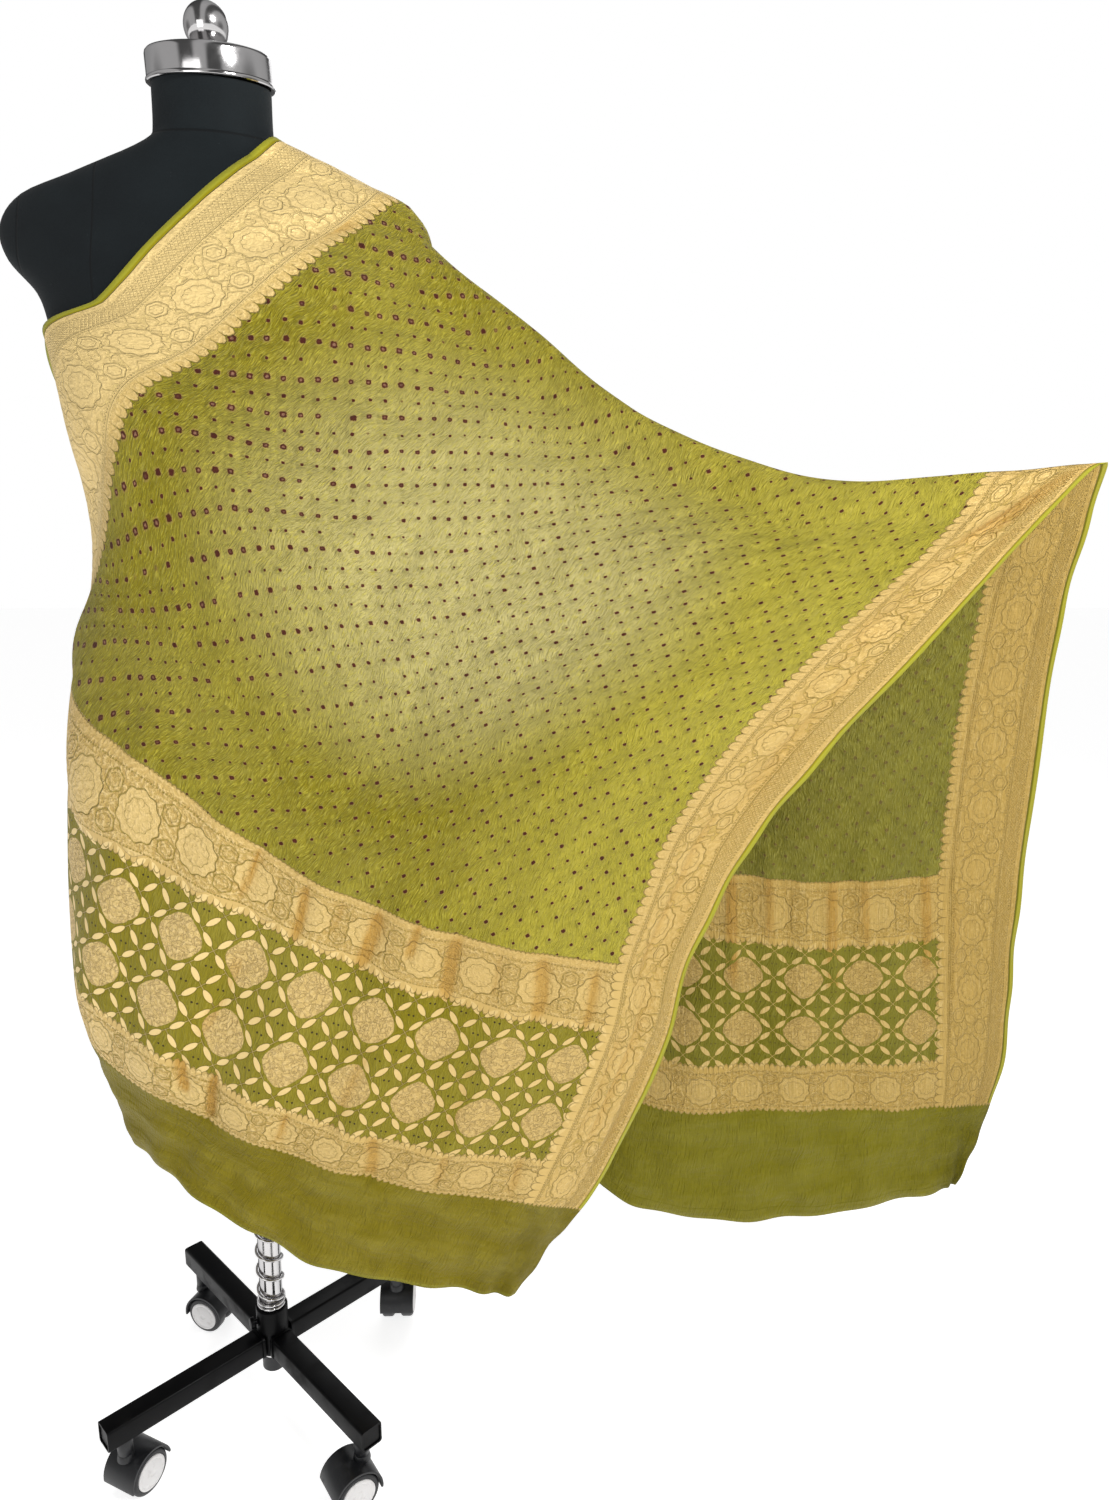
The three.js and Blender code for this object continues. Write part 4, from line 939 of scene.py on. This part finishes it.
class Silk(Finish):
    """Silk seen from its right or its wrong side. All places are millimetres on the flat cloth."""

    def __init__(self, name):
        super().__init__(name, Sheen_Weight=0.04, Sheen_Roughness=0.4, Specular_IOR_Level=0.2)
        self.cloth = self.flat("flat")
        across, along, _ = self.parts(self.cloth)
        self.across, self.along = across * 1000, along * 1000
        waver = self.cloudy(self.cloth, 28, 2) - 0.5
        self.side = abs(self.across - CLOTH_WIDE / 2)
        self.edge = CLOTH_WIDE / 2 - self.side + waver * 1.5
        self.hem = self.along.least(CLOTH_LONG - self.along) + waver * 2

    def wheel(self, x, y, radius, petals, cut):
        """A round flower: what lies inside its outline, and its drawn lines."""
        reach = (x * x + y * y).op("SQRT")
        turn = self.maths("ARCTAN2", y, x)
        lobed = reach * (1 + (turn * petals).op("COSINE") * 0.05)
        drawn = lobed.near(radius, 0.6, 0.5).most(lobed.near(radius * 0.62, 0.4, 0.4) * 0.6)
        spokes = 1 - (turn * petals / 2).op("SINE").op("ABSOLUTE").over(0.02, cut)
        spokes = spokes * lobed.over(radius * 0.36, radius * 0.45)
        spokes = spokes * (1 - lobed.over(radius * 0.7, radius * 0.74))
        return 1 - lobed.over(radius - 0.5, radius + 0.5), drawn.most(spokes * 0.35)

    def scallops(self, into, place, pitch, tall):
        """Petals along a band's edge: how far inside them, and the gaps between them. into runs outwards."""
        number, off = place.cell(pitch)
        part = abs(off) * 2 / pitch
        ragged = self.chance(self.point(number, tall))[0] * 0.5 + self.cloudy(self.cloth, 330, 2)
        top = ((1 - part * part).most(0).op("POWER", 0.65) + ragged * 0.5 - 0.4) * tall
        inside = 1 - (into - top).over(-0.4 - tall, 0.4 - tall)
        outline = (into + tall - top).near(-0.7, 0.5, 0.5)
        gap = abs(off).over(pitch * 0.43, pitch * 0.5) * into.over(-tall * 2.4, -tall * 0.8)
        return inside, (gap * inside).most(outline)

    def stitched(self, place):
        return (place * (2 * math.pi / STITCH)).op("SINE").over(-0.5, 0.2)

    def ruled(self, place, half, first, *others):
        """Lines along a band, one at each of the places given."""
        lines = place.near(first, half)
        for other in others:
            lines = lines.most(place.near(other, half))
        return lines

    def side_border(self):
        """Plain strip, dotted line, diamonds, then a scroll of flowers and buds between ruled lines."""
        edge, along = self.edge, self.along
        flower_at, low_bud_at, high_bud_at, scroll_at, diamonds_at = 69, 50, 86, 68, 25
        rules = self.ruled(edge, 0.8, 15, 36.5, 98.5, 103.5) * self.stitched(along)
        rules = rules.most(self.ruled(edge, 0.5, 34, 101))
        _, slant_a = (along + edge).cell(4.2)
        _, slant_b = (along - edge).cell(4.2)
        diamonds = abs(slant_a).over(1.2, 1.9).most(abs(slant_b).over(1.2, 1.9)) * edge.near(diamonds_at, 8.5)
        _, off = along.cell(FLOWER_PITCH)
        disc, flower = self.wheel(off, edge - flower_at, 20, 10, 0.16)
        _, off = (along + 30).cell(FLOWER_PITCH)
        bud_a, bud_lines_a = self.wheel(off, edge - low_bud_at, 9.5, 6, 0.2)
        _, off = (along - 33).cell(FLOWER_PITCH)
        bud_b, bud_lines_b = self.wheel(off, edge - high_bud_at, 9.5, 6, 0.2)
        flowers = disc.most(bud_a).most(bud_b)
        vine = (along * (2 * math.pi / FLOWER_PITCH)).op("COSINE")
        stems = (edge + vine * 19).near(scroll_at, 0.8).most((edge - vine * 21).near(scroll_at, 0.6) * 0.8)
        tendril = (along * (4 * math.pi / FLOWER_PITCH)).op("SINE") * 9
        stems = stems.most((edge + tendril).near(80, 0.5) * 0.7)
        leafy = 1 - abs(self.cloudy(self.cloth, 62, 1, 0.4) - 0.5).over(0.012, 0.035)
        stems = stems.most(leafy * 0.8)
        scroll = (stems * (1 - flowers)).most(flower).most(bud_lines_a).most(bud_lines_b)
        return rules.most(scroll * edge.near(scroll_at, 30)).most(diamonds * 0.55), flowers

    def band(self, low, high, radius, pitch):
        """Lobed flowers in a row between two small ones, on a wavy stem."""
        across, from_middle = self.across, self.hem - (low + high) / 2
        _, off = across.cell(pitch)
        _, half_off = (across + pitch / 2).cell(pitch)
        disc, flower = self.wheel(off, from_middle, radius, 10, 0.18)
        small_a, lines_a = self.wheel(half_off, from_middle - radius * 0.75, radius * 0.42, 6, 0.2)
        small_b, lines_b = self.wheel(half_off, from_middle + radius * 0.75, radius * 0.42, 6, 0.2)
        rules = self.ruled(self.hem, 0.7, high - 12, low + 12) * self.stitched(across)
        wave = (across * (2 * math.pi / pitch)).op("COSINE") * radius * 0.9
        stems = (from_middle + wave).near(0, 0.6).most((from_middle - wave).near(0, 0.6))
        stems = stems * from_middle.near(0, (high - low) / 2 - 13) * (1 - disc.most(small_a).most(small_b))
        return flower.most(lines_a).most(lines_b).most(rules).most(stems), disc

    def leaf_chain(self, off_line, run):
        """Above 0 inside a line of slim leaves, one to each pitch, which is thin where two leaves meet."""
        part = (run - LEAF_PITCH / 2) / LEAF_HALF
        return ((1 - part * part).most(0).op("POWER", 0.55) * LEAF_THICK).most(0.5) - off_line

    def lattice(self):
        """A slanting net of leaf chains, with a rounded medallion and four small dyed squares in turn."""
        x, y = self.across - LATTICE_X, self.hem - LATTICE_Y
        rising, falling = (x + y) / math.sqrt(2), (x - y) / math.sqrt(2)
        row, p = rising.cell(2 * LEAF_PITCH)
        column, q = falling.cell(2 * LEAF_PITCH)
        divided = (row + column).op("PINGPONG", 1)
        p, q = abs(p), abs(q)
        rounded = (p * p * p + q * q * q).op("POWER", 1 / 3) + (self.cloudy(self.cloth, 150, 2) - 0.5) * 2.4
        medallion = (1 - rounded.over(*MEDALLION_EDGE)) * (1 - divided)
        chains = self.leaf_chain(abs(p - LEAF_PITCH), q).most(self.leaf_chain(abs(q - LEAF_PITCH), p))
        chains = chains.most(self.leaf_chain(p, q).most(self.leaf_chain(q, p)) - (1 - divided) * 9)
        small_row, p = (rising + LEAF_PITCH / 2).cell(LEAF_PITCH)
        small_column, q = (falling + LEAF_PITCH / 2).cell(LEAF_PITCH)
        luck = self.chance(self.point(small_row, small_column, 3))
        shift = (luck[0] - 0.5) * 2.4
        near = abs(abs(p + q + shift) - 3.6) + abs(p - q + (luck[1] - 0.5) * 5)
        dots = (1 - near.over(1.5, 2.2)) * divided * luck[2].over(0.05, 0.1)
        return medallion, chains, dots

    def crackle(self):
        """Fine crooked lines where the crinkled zari has cracked."""
        one, other = self.cloudy(self.cloth, 120, 2, 0.6), self.cloudy(self.cloth, 75, 1)
        return (1 - abs(one - 0.5).over(0.008, 0.03)).most(1 - abs(other - 0.52).over(0.004, 0.016))

    def tied_dots(self):
        """Rows at 45 degrees to the edges. Every other row is larger, and those rows turn halfway across."""
        rising, rising_off = ((self.along + self.across) / math.sqrt(2)).cell(DOT_PITCH)
        falling, falling_off = ((self.along - self.across) / math.sqrt(2)).cell(DOT_PITCH + DOT_STRETCH)
        luck = self.chance(self.point(rising, falling, 1))
        turned = self.across.over(CLOTH_WIDE / 2 - 1, CLOTH_WIDE / 2 + 1)
        large = 1 - (rising * turned + falling * (1 - turned)).op("PINGPONG", 1)
        tight = 1 - self.across.over(150, 400)
        one = abs(rising_off + (luck[0] - 0.5) * DOT_JITTER)
        other = abs(falling_off + (luck[1] - 0.5) * DOT_JITTER)
        reach = (one * one * one + other * other * other).op("POWER", 1 / 3)
        size = (1.25 + large * 0.5 + tight * (0.4 + large * 0.75)) * (0.8 + luck[2] * 0.4)
        reach = reach / size + (self.cloudy(self.cloth, 420, 2) - 0.5) * 0.8
        shown = luck[2].over(0.02, 0.08)
        dot = (1 - reach.over(0.85, 1.15)) * shown
        heart = (1 - reach.over(0.25, 0.6)) * shown * large * tight * luck[0].over(0.2, 0.4)
        blush = (1 - reach.over(1.0, 1.7)) * shown
        peak = (1 - reach.over(0.6, 4.0)) * shown
        link = (1 - other.over(0.1, 0.6)) * self.cloudy(self.cloth, 90, 2).over(0.5, 0.65)
        return dot, heart, blush, peak, link


# The parts of the cloth as they come up from a hem: name, and the place where the next finish takes over.
# A side border starts above the plain end. Each finish meets the next where both are plain gold.
ZONES = [("end", 122), ("lower_band", 174), ("lattice", 351), ("upper_band", 414), ("field", 986)]
ZONE_NAMES = ["side_border"] + [name for name, _ in ZONES]

# A band's lower and upper edge, its flowers' radius and how far apart they are.
BANDS = {"lower_band": (PLAIN_END, LOWER_BAND, 18, 54), "upper_band": (LATTICE, UPPER_BAND, 22, 62)}

# The colours of the cloth's right side, and of its wrong side, with a pale one for a painted sheen highlight
# and an ochre one for painted shade in the creases.
SILK_COLOURS = {
    True: dict(deep=dye(149, 137, 12), pale=dye(202, 189, 90), painted_sheen=dye(222, 209, 144),
               lime=dye(208, 194, 68), end=dye(132, 118, 4), selvage=dye(172, 168, 48),
               zari_deep=dye(204, 170, 96), zari=dye(226, 195, 126), zari_pale=dye(246, 217, 150),
               drawn=dye(176, 151, 60), crack=dye(190, 156, 94), crease_shade=dye(192, 146, 62), dot=dye(80, 6, 14),
               blush=dye(190, 152, 96), heart=dye(184, 136, 106), speck=dye(44, 22, 20)),
    False: dict(deep=dye(108, 102, 0), pale=dye(166, 160, 76), painted_sheen=dye(150, 144, 66),
                lime=dye(150, 142, 52), end=dye(128, 120, 6), selvage=dye(160, 154, 46),
                zari_deep=dye(190, 156, 78), zari=dye(206, 174, 100), zari_pale=dye(224, 196, 128),
                drawn=dye(146, 126, 56), crack=dye(176, 140, 68), crease_shade=dye(178, 132, 50),
                dot=dye(96, 60, 40), blush=dye(150, 130, 66), heart=dye(160, 140, 90), speck=dye(70, 50, 34)),
}


def woven(silk, zone, right, crinkle):
    """Where a zone's gold is, the lines drawn in it, its paler parts, and how crinkled and cracked it is."""
    across, along, edge, hem = silk.across, silk.along, silk.edge, silk.hem
    if zone == "side_border":
        drawn, flowers = silk.side_border()
        crumpled = silk.cloudy(silk.cloth, 9, 2).over(0.4, 0.65) * (1 - along.over(300, 480))
        return dict(gold=edge.over(7, 8), drawn=drawn, paler=flowers * (crinkle * 0.5 if right else 0.05),
                    crinkled=0.5 - flowers * 0.15 + crumpled * 0.45)
    if zone == "end":
        gold, drawn = silk.scallops(PLAIN_END + 5 - hem, across, 7, 4)
        return dict(gold=gold, drawn=drawn, paler=gold * 0.2, crinkled=0.5)
    petals, gaps = silk.scallops(edge - BORDER - 2, along, 10.5, 7)
    inner = 1 - petals
    if zone in BANDS:
        lines, disc = silk.band(*BANDS[zone])
        return dict(gold=petals.most(1), drawn=gaps.most(lines * inner), crinkled=inner * (1 - disc * 0.5),
                    paler=(petals * 0.2).most(disc * 0.4))
    if zone == "field":
        band_petals, band_gaps = silk.scallops(hem - UPPER_BAND, across, 5, 1.5)
        return dict(gold=petals.most(band_petals), drawn=gaps.most(band_gaps * inner), paler=petals * 0.2,
                    crinkled=0.5)
    medallion, chains, specks = silk.lattice()
    low_petals, low_gaps = silk.scallops(hem - LOWER_BAND, across, 6, 4)
    high_petals, high_gaps = silk.scallops(LATTICE - hem, across, 6, 4)
    band_petals = low_petals.most(high_petals)
    leaves = chains.over(0, 0.5)
    return dict(gold=petals.most(medallion).most(leaves).most(band_petals),
                drawn=gaps.most(low_gaps.most(high_gaps) * band_petals * inner),
                paler=(petals * 0.2).most(leaves * (1 - medallion) * 0.9).most(medallion * 0.35),
                crack=silk.crackle() * medallion * inner * (1 - band_petals), crinkled=0.7 * medallion,
                chains=chains, specks=specks)


def dyed_ground(silk, zone, right, weave, bend, streaks, raised):
    """The silk ground's colour and height: paler where the dye took less, pucker left by the tying, and
    painted light.
    """
    tint = SILK_COLOURS[right]
    across, along, edge, hem = silk.across, silk.along, silk.edge, silk.hem
    if zone not in ("field", "lattice", "end"):
        return silk.mix(edge.over(4, 6), tint["selvage"], tint["deep"]), raised
    bare = 1 - weave["gold"]
    broad = silk.cloudy(silk.cloth, 4.5, 2, 0.5)
    colour = silk.mix(broad.over(0.3, 0.72) * 0.4, tint["deep"], tint["pale"])
    if zone == "field":
        # Painted sheen highlight: the middle of the field is painted paler, as if lit there.
        sheen_x = (across - SHEEN_PATCH_ACROSS[0]) / SHEEN_PATCH_ACROSS[1]
        sheen_y = (along - SHEEN_PATCH_ALONG[0]) / SHEEN_PATCH_ALONG[1]
        middle = 1 - (sheen_x * sheen_x + sheen_y * sheen_y + broad * 0.5).over(0.1, 1.5)
        # Painted light: the field is painted lighter and more lime towards its right side, where the light
        # falls.
        colour = silk.mix(across.over(520, 800) * 0.7, colour, tint["lime"])
        colour = silk.mix(middle * 0.85, colour, tint["painted_sheen"])
        ticks = silk.cloudy(silk.point(across * 0.9 + bend * 2, along * 0.13), 1, 2)
        colour = silk.mix(ticks.over(0.5, 0.68) * 0.65, colour, tint["lime" if right else "pale"])
        colour = silk.mix(0.4 - ticks.over(0.3, 0.48) * 0.4, colour, tint["end"])
        raised = raised + ticks * bare * 1.1
    colour = silk.mix(streaks.over(0.48, 0.72) * 0.45, colour, tint["pale"])
    raised = raised + streaks * bare * 1.3
    if zone == "end":
        colour = silk.mix(0.92, colour, tint["end"])
        colour = silk.mix(hem.near(12, 0.5, 0.4) * 0.35, colour, tint["deep"])
        colour = silk.mix((1 - hem.over(2, 4)) * 0.4, colour, tint["selvage"])
        wrinkles = silk.cloudy(silk.point(across * 0.012 + along * 0.01, along * 0.035), 1, 3, 0.6)
        # Painted highlights: the plain end is painted paler along the crests of its wrinkles, on top of their
        # bump.
        colour = silk.mix(wrinkles.over(0.4, 0.7) * 0.16, colour, tint["pale"])
        return colour, raised + (1 - hem.over(11, 12.5)) * 0.25 + wrinkles * 3.2
    if zone == "lattice":
        colour = silk.mix(0.4, colour, tint["end"])
        colour = silk.mix(weave["chains"].over(-1.3, -0.2) * 0.5, colour, tint["end"])
        return silk.mix(weave["specks"] * (0.95 if right else 0.5), colour, tint["speck"]), raised
    dot, heart, blush, peak, link = silk.tied_dots()
    colour = silk.mix(link * bare * (0.35 if right else 0.15), colour, tint["end"])
    colour = silk.mix(blush * bare * 0.4, colour, tint["blush"])
    colour = silk.mix(dot * bare * (0.95 if right else 0.5), colour, tint["dot"])
    colour = silk.mix(heart * bare * 0.8, colour, tint["heart"])
    return colour, raised + peak * bare * 0.8


def gilt(silk, zone, right, weave, crinkle, raised):
    """The gold's colour and height: crinkled, drawn, with painted light and shade, and with floats on the
    wrong side.
    """
    tint, across = SILK_COLOURS[right], silk.across
    gold, drawn, crinkled = weave["gold"], weave["drawn"], weave["crinkled"]
    # Painted highlights and shade on the crinkled gold: paler where the crinkle stands high, deeper where it
    # is low.
    colour = silk.mix(crinkle.over(0.32, 0.62) * crinkled + (1 - crinkled) * 0.55, tint["zari_deep"],
                      tint["zari"])
    colour = silk.mix(crinkle.over(0.5, 0.7) * crinkled * 0.8, colour, tint["zari_pale"])
    colour = silk.mix(weave["paler"], colour, tint["zari_pale"])
    curls = 1 - abs(crinkle - 0.46).over(0.004, 0.03)
    colour = silk.mix(curls * crinkled * 0.55, colour, tint["drawn"])
    if "crack" in weave:
        colour = silk.mix(weave["crack"] * 0.4, colour, tint["crack"])
        raised = raised - weave["crack"] * 0.3
    colour = silk.mix(drawn * (0.8 if right else 0.3), colour, tint["drawn"])
    if zone != "end":
        # Painted shade: the gold is darkened to ochre in the pressed creases, in fine streaks.
        pressed_in = Amount(silk, silk.add("ShaderNodeAttribute", attribute_name="pressed").outputs["Fac"])
        fine_streaks = silk.cloudy(silk.point(across * 1.1, silk.along * 0.05), 1, 2)
        shaded_creases = pressed_in.over(0.25, 0.9) * (fine_streaks * 2.1 - 0.05)
        colour = silk.mix(shaded_creases * (0.3 if zone == "side_border" else 1), colour, tint["crease_shade"])
    if not right:
        floats = silk.cloudy(silk.point(across * 0.9, silk.along * 0.03), 1, 2)
        colour = silk.mix(floats.over(0.4, 0.65) * 0.55, colour, tint["zari_deep"])
        colour = silk.mix((1 - floats.over(0.3, 0.45)) * 0.5, colour, tint["zari_pale"])
        raised = raised + floats * gold * 0.5
    # Painted light and shade: the gold is painted paler at the left side border and darker towards the right.
    if zone == "side_border":
        colour = silk.mix((1 - across.over(60, 220)) * 0.7, colour, tint["zari_pale"])
    colour = silk.mix(across.over(300, 760) * (0.5 if right else 0.3), colour, tint["zari_deep"])
    return colour, raised + gold * 0.3 - drawn * gold * 0.35 + crinkle * gold * crinkled * 1.3


def silk_zone(zone, right):
    """The finish of one part of the cloth, on one of its sides."""
    silk = Silk(f"silk_{zone}_{'right' if right else 'wrong'}")
    crinkle = silk.cloudy(silk.cloth, 200 if zone == "side_border" else 250, 2, 0.6)
    bend = silk.cloudy(silk.cloth, 22, 1) * 9
    streak_place = silk.point(silk.across * 0.55 + silk.along * 0.06 + bend, silk.along * 0.055)
    streaks = silk.cloudy(streak_place, 1, 3, 0.55)
    weave = woven(silk, zone, right, crinkle)
    ground, raised = dyed_ground(silk, zone, right, weave, bend, streaks, crinkle * 0.12)
    gold_colour, raised = gilt(silk, zone, right, weave, crinkle, raised)
    gold = weave["gold"]
    return silk.finish(bump=raised, depth=SILK_RELIEF, strength=1.0, Metallic=gold * 0.15,
                       Base_Color=silk.mix(gold, ground, gold_colour),
                       Roughness=0.52 - gold * 0.08 + streaks * 0.1)


for right in (True, False):
    for zone in ZONE_NAMES:
        cloth_mesh.materials.append(silk_zone(zone, right))

# Each face of the grid takes the finish of the zone that its middle lies in.
face_across = (grid_across[:-1, :-1] + grid_across[1:, 1:]).ravel() / 2
face_along = (grid_along[:-1, :-1] + grid_along[1:, 1:]).ravel() / 2
face_edge = np.minimum(face_across, CLOTH_WIDE - face_across)
face_hem = np.minimum(face_along, CLOTH_LONG - face_along)
face_zone = 1 + np.searchsorted([reach for _, reach in ZONES], face_hem)
face_zone[(face_edge < SIDE_ZONE_EDGE) & (face_hem > ZONES[0][1])] = 0
cloth_mesh.polygons.foreach_set("material_index", np.concatenate([
    face_zone, face_zone + len(ZONE_NAMES), np.zeros(len(rim), int)]).astype(np.int32))
cloth = placed("dupatta", cloth_mesh)
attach(cloth, "root")
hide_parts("cloth")
